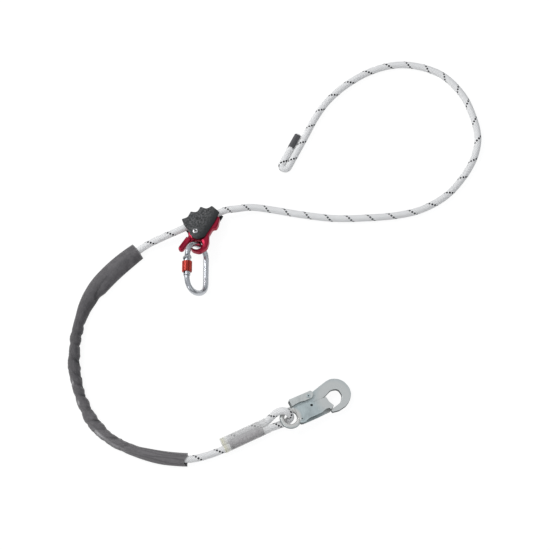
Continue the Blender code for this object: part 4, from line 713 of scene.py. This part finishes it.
def onward(edge, point, heading):
    """The line that goes straightest on from an edge's end, length and all, if it turns no corner."""
    lines = [other.other_vert(point).co - point.co for other in point.link_edges if other is not edge]
    straightest = min(lines, key=heading.angle)
    return straightest if heading.angle(straightest) < CORNER else heading


def rounder(shape):
    """Gives the lines of each arc a middle point that lies on the arc.

    At both ends of a line the arc's direction is the sum of the line and the next one. The middle
    point is the chord's middle, moved by an eighth of the length times the difference of the two.
    """
    moved = {}
    for edge in shape.edges:
        first, last = edge.verts
        chord = last.co - first.co
        if len(edge.link_faces) != 2 or edge.calc_face_angle() < FLAT:
            continue
        leave = (chord - onward(edge, first, -chord)).normalized()
        arrive = (chord + onward(edge, last, chord)).normalized()
        bulge = (leave - arrive) * chord.length / 8
        if bulge.length > LEAST_BULGE:
            moved[edge] = (first.co + last.co) / 2 + bulge
    fresh = set()
    for edge, place in moved.items():
        point = bmesh.utils.edge_split(edge, edge.verts[0], 0.5)[1]
        point.co = place
        fresh.add(point)
    for face in list(shape.faces):
        ends = [point for point in face.verts if point in fresh]
        if len(face.verts) == 6 and len(ends) == 2:
            bmesh.utils.face_split(face, ends[0], ends[1])


# %% Rounded copies of the solids
HOOK_UP = joints["hook_gate_turn"]["axis"]


def dressed(node, body, slot, finish, edge, rounds=0, flank=None):
    """A merged copy of a solid in its place, with its edges rounded and its shading smoothed.

    A flank finish, which only the hook has, covers the faces that stand along the hook's up direction
    with painted shade.
    """
    mesh = frame["nodes"][node].data.copy()
    mesh.name = node + "_dressed"
    shape = bmesh.new()
    shape.from_mesh(mesh)
    bmesh.ops.remove_doubles(shape, verts=shape.verts, dist=SAME_POINT)
    bmesh.ops.dissolve_limit(shape, angle_limit=FLAT, verts=shape.verts, edges=shape.edges)
    for _ in range(rounds):
        rounder(shape)
    for face in shape.faces:
        face.smooth = True
    shape.to_mesh(mesh)
    shape.free()
    made = piece(node + "_dressed", mesh, finish, body, slot, node)
    if flank is not None:
        mesh.materials.append(flank)
        facing = np.empty(3 * len(mesh.polygons), np.float32)
        mesh.polygons.foreach_get("normal", facing)
        standing = np.abs(facing.reshape(-1, 3) @ np.array(HOOK_UP)) < 0.5
        mesh.polygons.foreach_set("material_index", standing.astype(np.int32))
    if edge:
        bevel = made.modifiers.new("rounded_edges", "BEVEL")
        bevel.width = edge
        bevel.segments = 2
        bevel.limit_method = "ANGLE"
        bevel.angle_limit = KNIFE_EDGE
        bevel.miter_outer = "MITER_ARC"
    smooth = made.modifiers.new("even_shading", "WEIGHTED_NORMAL")
    smooth.keep_sharp = True
    smooth.weight = 80
    return made


# %% [markdown]
# Bare metal is never one colour: its gloss is cloudy, it has fine marks that run one way, and wear
# brings out a second colour. One function gives all of them that, and each finish sets its own values.
# A spot or a groove that is too small to model is then laid over it.

# %% Metal finishes


def metal(name, colour, roughness, worn=None, metallic=1.0, scratches=0.12, relief=0.00003, speckle=0.82):
    """A little worn: its roughness goes up and down by scratches times the sum of cloud and marks."""
    made, tree, shader = material(name, colour, roughness, metallic)
    cloud = noise(tree, 45, 4.0)
    marks = noise(tree, 420, 6.0, 0.7, (1, 0.25, 1))
    gloss = sums(tree, "ADD", ramp(tree, cloud, 0.3, 0.7, -0.5, 0.5), ramp(tree, marks, 0.3, 0.7, -0.5, 0.5))
    rough = sums(tree, "ADD", product(tree, gloss, scratches), roughness)
    put(tree, shader.inputs["Roughness"], rough)
    dark = tuple(speckle * c for c in colour)
    tone = mixed(tree, ramp(tree, sums(tree, "ADD", cloud, marks), 0.75, 1.25), dark, colour)
    if worn is not None:
        rubbed = ramp(tree, marks, 0.66, 0.74)
        tone = mixed(tree, product(tree, rubbed, 0.55), tone, worn)
    put(tree, shader.inputs["Base Color"], tone)
    bumped(tree, shader, marks, relief, 0.5)
    return made


def painted(made, share_of, colour):
    """Lays a colour over a finish: share_of(tree) gives 1 where it covers, 0 where it doesn't."""
    tree = made.node_tree
    base = tree.nodes["Principled BSDF"].inputs["Base Color"]
    put(tree, base, mixed(tree, share_of(tree), base.links[0].from_socket, colour))
    return made


def upright(axis):
    """The Euler angles that turn Z onto the axis."""
    return Vector(axis).to_track_quat("Z", "Y").to_euler()


def disc(place, axis, radius, soft=0.0004):
    """A round spot on an axis, as a share for painted."""
    def share(tree):
        """1 within the radius, and down to 0 over the soft rim."""
        first, second, _ = local_axes(tree, place, upright(axis))
        return ramp(tree, reach(tree, first, second), radius + soft, radius)
    return share


# %% [markdown]
# The hook is zinc plated steel. Its faces are smooth plate and its cut flanks are rougher and darkened
# by painted shade, so the two get finishes of their own. The painted shade spots on the rivet heads and
# in and round the peep hole lie on the hook's own axes, so they stay in place however it is laid.

# %% Finishes of the hook
BAY_MIDDLE = (0.1256, -0.1484, 0.0100)
RING_MIDDLE = (0.0489, -0.1885, 0.0170)
PEEP_HOLE = (0.0850, -0.1654, 0.0165)
RIVET_SHADE_DOTS = [joints["hook_gate_turn"]["pos_m"], joints["hook_lock_turn"]["pos_m"]]
RIVET_SHADE_RADIUS = 0.0011


def zinc_finish():
    """Zinc plate, bluer on the worn middle than nose and ring, with painted shade on rivets and peep hole."""
    made = metal("zinc_plated", (0.55, 0.63, 0.64), 0.42, metallic=0.6, scratches=0.16, speckle=0.74)
    painted(made, disc(BAY_MIDDLE, HOOK_UP, 0.026, 0.014), (0.61, 0.63, 0.62))
    painted(made, disc(RING_MIDDLE, HOOK_UP, 0.016, 0.004), (0.66, 0.66, 0.64))
    # Painted shade: dark dots on the rivet heads
    for place in RIVET_SHADE_DOTS:
        painted(made, disc(place, HOOK_UP, RIVET_SHADE_RADIUS), (0.03, 0.03, 0.03))
    # Painted shade: a dark disc in and round the peep hole
    return painted(made, disc(PEEP_HOLE, HOOK_UP, 0.0018), (0.012, 0.012, 0.012))


def lever_finish():
    """The lock lever's paler zinc, with a painted shade dot on its rivet."""
    made = metal("pale_zinc_plated", (0.66, 0.69, 0.68), 0.42, metallic=0.6, scratches=0.16, speckle=0.80)
    return painted(made, disc(RIVET_SHADE_DOTS[1], HOOK_UP, RIVET_SHADE_RADIUS), (0.03, 0.03, 0.03))


zinc = zinc_finish()
pale_zinc = lever_finish()
# Painted shade: a dark finish for the hook's side walls
flank_shade = metal("painted_shade_flank", (0.10, 0.11, 0.115), 0.55, metallic=0.5)
print("hook finishes:", zinc.name, pale_zinc.name, flank_shade.name)

# %% [markdown]
# The adjuster's plates are black and scuffed where they rub on bark, with painted light fading across
# them and painted shade along one edge. The cam and its lever are crimson and glossy, the carabiner is
# polished and its screw sleeve is orange red with grooves for the fingers, their shade painted in dark
# lines. Colour that is anodised into alloy still shines like metal, so it is mostly metallic.

# %% Finishes of the adjuster and the carabiner
AXLE = joints["cam_turn"]


def axle_finish():
    """Bright turned steel: painted shade for a socket in the middle and a three-part groove round it."""
    made = metal("bright_axle_head", (0.72, 0.72, 0.73), 0.24, scratches=0.08)
    # Painted shade for a socket in the middle
    painted(made, disc(AXLE["pos_m"], AXLE["axis"], 0.0014, 0.0002), (0.02, 0.02, 0.02))

    def groove(tree):
        """Painted shade: 1 near 3 mm from the axis, where the sine of three times the angle is high."""
        first, second, _ = local_axes(tree, AXLE["pos_m"], upright(AXLE["axis"]))
        ring = sums(tree, "ABSOLUTE", sums(tree, "SUBTRACT", reach(tree, first, second), 0.0030))
        thirds = product(tree, sums(tree, "ARCTAN2", second, first), 3.0)
        open_part = ramp(tree, sums(tree, "SINE", thirds), -0.5, -0.3)
        return product(tree, ramp(tree, ring, 0.0007, 0.0004), open_part)

    return painted(made, groove, (0.03, 0.012, 0.015))


def cheek_finish():
    """Black plate: scuffs and painted light paler toward its scallops, painted shade along its right edge."""
    made = metal("black_anodised_plate", (0.040, 0.043, 0.044), 0.50, worn=(0.14, 0.145, 0.15),
                 metallic=0.0, speckle=0.28)
    made.node_tree.nodes["Principled BSDF"].inputs["Specular IOR Level"].default_value = 0.3

    def to_right_edge(tree):
        """How far to the right of the axle."""
        return local_axes(tree, AXLE["pos_m"], (0, 0, math.radians(-30.5)))[0]

    def scuffs_and_painted_light(tree):
        """Fine noise for scuffs, times a share of painted light that falls toward the right edge."""
        grain = ramp(tree, noise(tree, 330, 5.0, 0.7), 0.44, 0.62, 0, 0.85)
        return product(tree, grain, ramp(tree, to_right_edge(tree), 0.012, -0.004, 0.15, 1.0))

    def shade(tree):
        """Painted shade that rises toward the right edge."""
        return ramp(tree, to_right_edge(tree), 0.006, 0.0155, 0, 0.85)

    painted(made, scuffs_and_painted_light, (0.135, 0.135, 0.138))
    return painted(made, shade, (0.010, 0.011, 0.013))


def screw_finish():
    """Orange red, with painted shade for grooves along it: twelve round the sleeve."""
    made = metal("orange_red_anodised", (0.52, 0.050, 0.032), 0.34, metallic=0.6, speckle=0.6)
    slide = joints["screw_sleeve_slide"]

    def grooves(tree):
        """Painted shade: high where the sine of twelve times the angle round the sleeve is high."""
        first, second, _ = local_axes(tree, slide["pos_m"], upright(slide["axis"]))
        twelfths = product(tree, sums(tree, "ARCTAN2", second, first), 12.0)
        return ramp(tree, sums(tree, "SINE", twelfths), 0.45, 0.9, 0, 0.75)

    return painted(made, grooves, (0.16, 0.010, 0.008))


graphite = cheek_finish()
crimson = metal("crimson_anodised", (0.34, 0.010, 0.038), 0.30, worn=(0.44, 0.045, 0.07), metallic=0.75)
polished = metal("polished_alloy_bar", (0.55, 0.57, 0.60), 0.27, scratches=0.04, relief=0.00001)
bright = metal("bright_turned_steel", (0.66, 0.66, 0.67), 0.20, scratches=0.08)
wire = metal("drawn_spring_wire", (0.42, 0.42, 0.43), 0.34)
axle_head = axle_finish()
orange_red = screw_finish()
print("adjuster and carabiner finishes:", graphite.name, crimson.name, polished.name, orange_red.name)

# %% [markdown]
# The nose of a forged hook is one even curve, and the solid's outline is a few arcs and straight
# lines. A subdivision surface would even it out, but would soften every other corner too. So only the
# outline's distance from the middle of the bay is averaged, over neighbouring angles.

# %% The hook's nose
NOSE_WINDOW = 22
NOSE_ANGLES = (-64, -48, 112, 128)
BAY_RADIUS = 0.0195
OUTLINE_RADIUS = 0.0215


def fuller_nose(mesh):
    """Turns the nose's outline, arcs joined by straight lines, into one even curve.

    A point's distance from the bay's middle changes by what the outline's distance at that angle
    lacks from its own average over the window on both sides, in degrees.
    """
    points = np.empty(3 * len(mesh.vertices))
    mesh.vertices.foreach_get("co", points)
    points = points.reshape(-1, 3)
    up = np.array(HOOK_UP)
    offset = points - BAY_MIDDLE
    offset -= (offset @ up)[:, None] * up
    radius = np.linalg.norm(offset, axis=1)
    angle = np.degrees(np.arctan2(offset[:, 1], offset[:, 0]))
    counts = np.empty(len(mesh.polygons), np.int32)
    flank = np.empty(len(mesh.polygons), np.int32)
    corners = np.empty(len(mesh.loops), np.int32)
    mesh.polygons.foreach_get("loop_total", counts)
    mesh.polygons.foreach_get("material_index", flank)
    mesh.loops.foreach_get("vertex_index", corners)
    outline = np.unique(corners[np.repeat(flank, counts) == 1])
    outline = outline[radius[outline] > OUTLINE_RADIUS]
    outline = outline[np.argsort(angle[outline])]
    steps = np.arange(-90.0, 150.0)
    raw = np.interp(steps, angle[outline], radius[outline])
    count = 2 * NOSE_WINDOW + 1
    even = np.convolve(np.pad(raw, NOSE_WINDOW, "edge"), np.full(count, 1 / count), "valid")
    shift = (even - raw) * np.interp(steps, NOSE_ANGLES, (0, 1, 1, 0))
    share = np.clip((radius - BAY_RADIUS) / 0.0015, 0, 1) * np.interp(angle, steps, shift)
    points += offset / np.maximum(radius, 1e-6)[:, None] * share[:, None]
    mesh.vertices.foreach_set("co", points.ravel())
    return 1000 * np.abs(shift).max()


# %% [markdown]
# The table gives each solid its body, slot, finish, edge radius in metres, and how many times its arcs
# are halved. Springs, pins and rivets that hardly show keep their solids and only get a finish.

# %% Dress the metal pieces
DRESS = [
    ("hook_gate_rivet", "hook", "zinc_plate", zinc, 0.0003, 0),
    ("hook_lock_rivet", "hook", "zinc_plate", zinc, 0.0003, 0),
    ("adjuster_front_cheek", "adjuster", "black_anodised", graphite, 0.0004, 2),
    ("adjuster_rear_cheek", "adjuster", "black_anodised", graphite, 0.0004, 2),
    ("adjuster_saddle", "adjuster", "black_anodised", graphite, 0.0004, 0),
    ("adjuster_axle", "adjuster", "bright_steel", axle_head, 0.0003, 0),
    ("adjuster_axle_nut", "adjuster", "bright_steel", bright, 0.0003, 0),
    ("cam_body", "cam", "red_anodised", crimson, 0.0004, 2),
    ("release_lever", "cam", "red_anodised", crimson, 0.0004, 2),
    ("carabiner_body", "carabiner", "polished_alloy", polished, 0.0003, 0),
    ("carabiner_gate", "gate", "polished_alloy", polished, 0.0003, 0),
    ("carabiner_screw_sleeve", "screw_sleeve", "red_sleeve", orange_red, 0.0002, 0),
]
for node, body, slot, finish, edge, rounds in DRESS:
    dressed(node, body, slot, finish, edge, rounds)
HOOK_PLATES = [
    ("hook_body", "hook", zinc, 0.0006),
    ("hook_gate", "hook_gate", zinc, 0.0004),
    ("hook_lock_lever", "hook_lock", pale_zinc, 0.0004),
]
for node, body, finish, edge in HOOK_PLATES:
    made = dressed(node, body, "zinc_plate", finish, edge, rounds=2, flank=flank_shade)
    if node == "hook_body":
        print(f"nose outline moved {fuller_nose(made.data):.2f} mm at most")
    print(f"{node}: {len(made.data.polygons)} faces")
print(f"dressed {len(DRESS) + len(HOOK_PLATES)} metal pieces")

# %% Finishes for the small hidden pieces
PLAIN = {
    bright: ["adjuster_bushing", "carabiner_gate_rivet", "carabiner_latch_pin", "carabiner_gate_plunger",
             "release_lever_pin"],
    wire: ["adjuster_cam_spring", "carabiner_gate_spring", "hook_gate_spring", "hook_lock_spring"],
    graphite: ["adjuster_saddle_rivet_left", "adjuster_saddle_rivet_right"],
}
for finish, nodes in PLAIN.items():
    for node in nodes:
        data = frame["nodes"][node].data
        data.materials.clear()
        data.materials.append(finish)
print(f"finished {sum(map(len, PLAIN.values()))} small pieces")

# %% [markdown]
# ## Label and stitching
#
# A clear tube is shrunk over the two legs of the sewn eye. Under it lie a plain tinted film and the
# dark seam that joins the legs. The stop's short leg carries a patch of dark thread. Glass that bends
# light would hide the film in noise, so the tube and the film are thin veils with an alpha instead.

# %% Plastic and thread


def label_axes(tree):
    """The place along the label from its far end, and across it, in metres."""
    along, across, _ = local_axes(tree, LABEL_END, (0, 0, LABEL_TURN))
    return sums(tree, "ADD", along, LABEL_LENGTH), across


def clear_finish():
    """The tube is nearly clear, hazier and yellower toward its far end."""
    made, tree, shader = material("clear_shrink_tube", (0.82, 0.82, 0.80), 0.20)
    along, _ = label_axes(tree)
    haze = noise(tree, 70, 3.0)
    yellow = ramp(tree, along, 0.012, 0.002)
    put(tree, shader.inputs["Base Color"], mixed(tree, yellow, (0.80, 0.80, 0.79), (0.80, 0.78, 0.60)))
    veil = ramp(tree, haze, 0.3, 0.7, 0.10, 0.26)
    put(tree, shader.inputs["Alpha"], sums(tree, "ADD", veil, product(tree, yellow, 0.15)))
    shader.inputs["Coat Weight"].default_value = 0.5
    shader.inputs["Coat Roughness"].default_value = 0.12
    bumped(tree, shader, haze, 0.0006, 0.5)
    return made


def film_finish():
    """The film is clear over one leg and tinted greyish purple over the other."""
    made, tree, shader = material("bare_label_film", (0.40, 0.38, 0.40), 0.40)
    along, across = label_axes(tree)
    cloud = noise(tree, 240, 4.0)
    tint = ramp(tree, across, 0.0060, -0.0040)
    deep = ramp(tree, across, -0.002, -0.011)
    ends = product(tree, ramp(tree, along, 0.003, 0.024), ramp(tree, along, 0.083, 0.062))
    clear = mixed(tree, cloud, (0.76, 0.75, 0.75), (0.84, 0.83, 0.83))
    grain = ramp(tree, cloud, 0.35, 0.65)
    middle = mixed(tree, grain, (0.25, 0.225, 0.24), (0.38, 0.35, 0.365))
    dark = mixed(tree, grain, (0.15, 0.137, 0.14), (0.24, 0.22, 0.225))
    tone = mixed(tree, tint, clear, mixed(tree, deep, middle, dark))
    put(tree, shader.inputs["Base Color"], tone)
    put(tree, shader.inputs["Alpha"], product(tree, ends, ramp(tree, tint, 0.0, 1.0, 0.06, 0.92)))
    bumped(tree, shader, cloud, 0.0004, 0.5)
    return made


def thread_finish():
    """Dark thread, cloudy at the width of its strands."""
    made, tree, shader = material("dark_thread_patch", (0.045, 0.045, 0.048), 0.6)
    strands = noise(tree, 700, 3.0, 0.6)
    put(tree, shader.inputs["Base Color"], mixed(tree, strands, (0.03, 0.03, 0.033), (0.085, 0.085, 0.09)))
    shader.inputs["Sheen Weight"].default_value = 0.3
    bumped(tree, shader, strands, 0.0004, 0.7)
    return made


thread = thread_finish()
dressed("eye_label_sleeve", "lanyard", "clear_shrink", clear_finish(), 0.0003)
dressed("eye_label_band", "lanyard", "label_film", film_finish(), 0.0)
for node in ("eye_stitching", "stop_stitching"):
    dressed(node, "lanyard", "dark_thread", thread, 0.0001)
print("dressed the label and two seams")

# %% [markdown]

# %% [markdown]
# ## Floor and light
#
# The floor is a plain pale sheet. The camera, and metal that reflects it, see it as nearly white, and
# it still takes the lanyard's soft shadow. A picture of a studio could light the scene, but nothing is
# read from disk here, so lamps and a plain sky do it. The main light is a wide lamp high on the left. A
# small lamp near the camera and a faint one on the right fill in, under a sky that is bright overhead.

# %% Floor
FLOOR_SIZE = 12
FLOOR_GLOW = 1.10
SHADOW_SHARE = 0.18


def make_floor():
    """Camera and mirror rays see glow times (1 - share) plus the lit sheet times the share."""
    mesh = bpy.data.meshes.new("floor")
    half = FLOOR_SIZE / 2
    corners = [(-half, -half, 0), (half, -half, 0), (half, half, 0), (-half, half, 0)]
    mesh.from_pydata(corners, [], [(0, 1, 2, 3)])
    made, tree, shader = material("pale_floor", (0.82, 0.82, 0.82), 0.9)
    rays = tree.nodes.new("ShaderNodeLightPath").outputs
    seen = sums(tree, "MAXIMUM", rays["Is Camera Ray"], rays["Is Glossy Ray"])
    seen = sums(tree, "MAXIMUM", seen, rays["Is Transmission Ray"])
    glow = tree.nodes.new("ShaderNodeEmission")
    glow.inputs["Color"].default_value = (1, 1, 1, 1)
    glow.inputs["Strength"].default_value = FLOOR_GLOW
    shadowed = tree.nodes.new("ShaderNodeMixShader")
    shadowed.inputs[0].default_value = SHADOW_SHARE
    tree.links.new(glow.outputs[0], shadowed.inputs[1])
    tree.links.new(shader.outputs[0], shadowed.inputs[2])
    chosen = tree.nodes.new("ShaderNodeMixShader")
    tree.links.new(seen, chosen.inputs[0])
    tree.links.new(shader.outputs[0], chosen.inputs[1])
    tree.links.new(shadowed.outputs[0], chosen.inputs[2])
    tree.links.new(chosen.outputs[0], tree.nodes["Material Output"].inputs["Surface"])
    floor = bpy.data.objects.new("floor", mesh)
    mesh.materials.append(made)
    bpy.context.scene.collection.objects.link(floor)


make_floor()
print(f"floor {FLOOR_SIZE} m wide; {SHADOW_SHARE:.0%} of its own shading is seen")

# %% Light


def lamp(name, place, size, power):
    """A square lamp that looks at the layout's middle."""
    data = bpy.data.lights.new(name, "AREA")
    data.size = size
    data.energy = power
    made = bpy.data.objects.new(name, data)
    bpy.context.scene.collection.objects.link(made)
    made.location = place
    way = Vector(LAYOUT_MIDDLE) - made.location
    made.rotation_euler = way.to_track_quat("-Z", "Y").to_euler()


# Place in metres, side in metres, power in watts
lamp("left_softbox", (-1.9, 1.2, 1.9), 1.7, 46)
lamp("near_softbox", (-1.3, -1.9, 0.9), 0.8, 7)
lamp("right_fill", (1.9, -1.4, 1.7), 1.4, 4)
print("lamps:", [light.name for light in bpy.data.lights])

# %% World
HORIZON, ZENITH = 0.10, 0.66


def make_world():
    """A studio that is bright overhead and falls off toward the horizon, as the direction's Z says."""
    world = bpy.data.worlds.new("studio")
    world.use_nodes = True
    tree = world.node_tree
    place = tree.nodes.new("ShaderNodeTexCoord")
    height = split(tree, place.outputs["Generated"])[2]
    background = tree.nodes["Background"]
    background.inputs["Color"].default_value = (0.95, 0.97, 1.0, 1)
    put(tree, background.inputs["Strength"], ramp(tree, height, 0.05, 0.55, HORIZON, ZENITH))
    bpy.context.scene.world = world


make_world()
print(f"sky strength {HORIZON} low down and {ZENITH} overhead")
bpy.context.scene.view_settings.view_transform = "Standard"
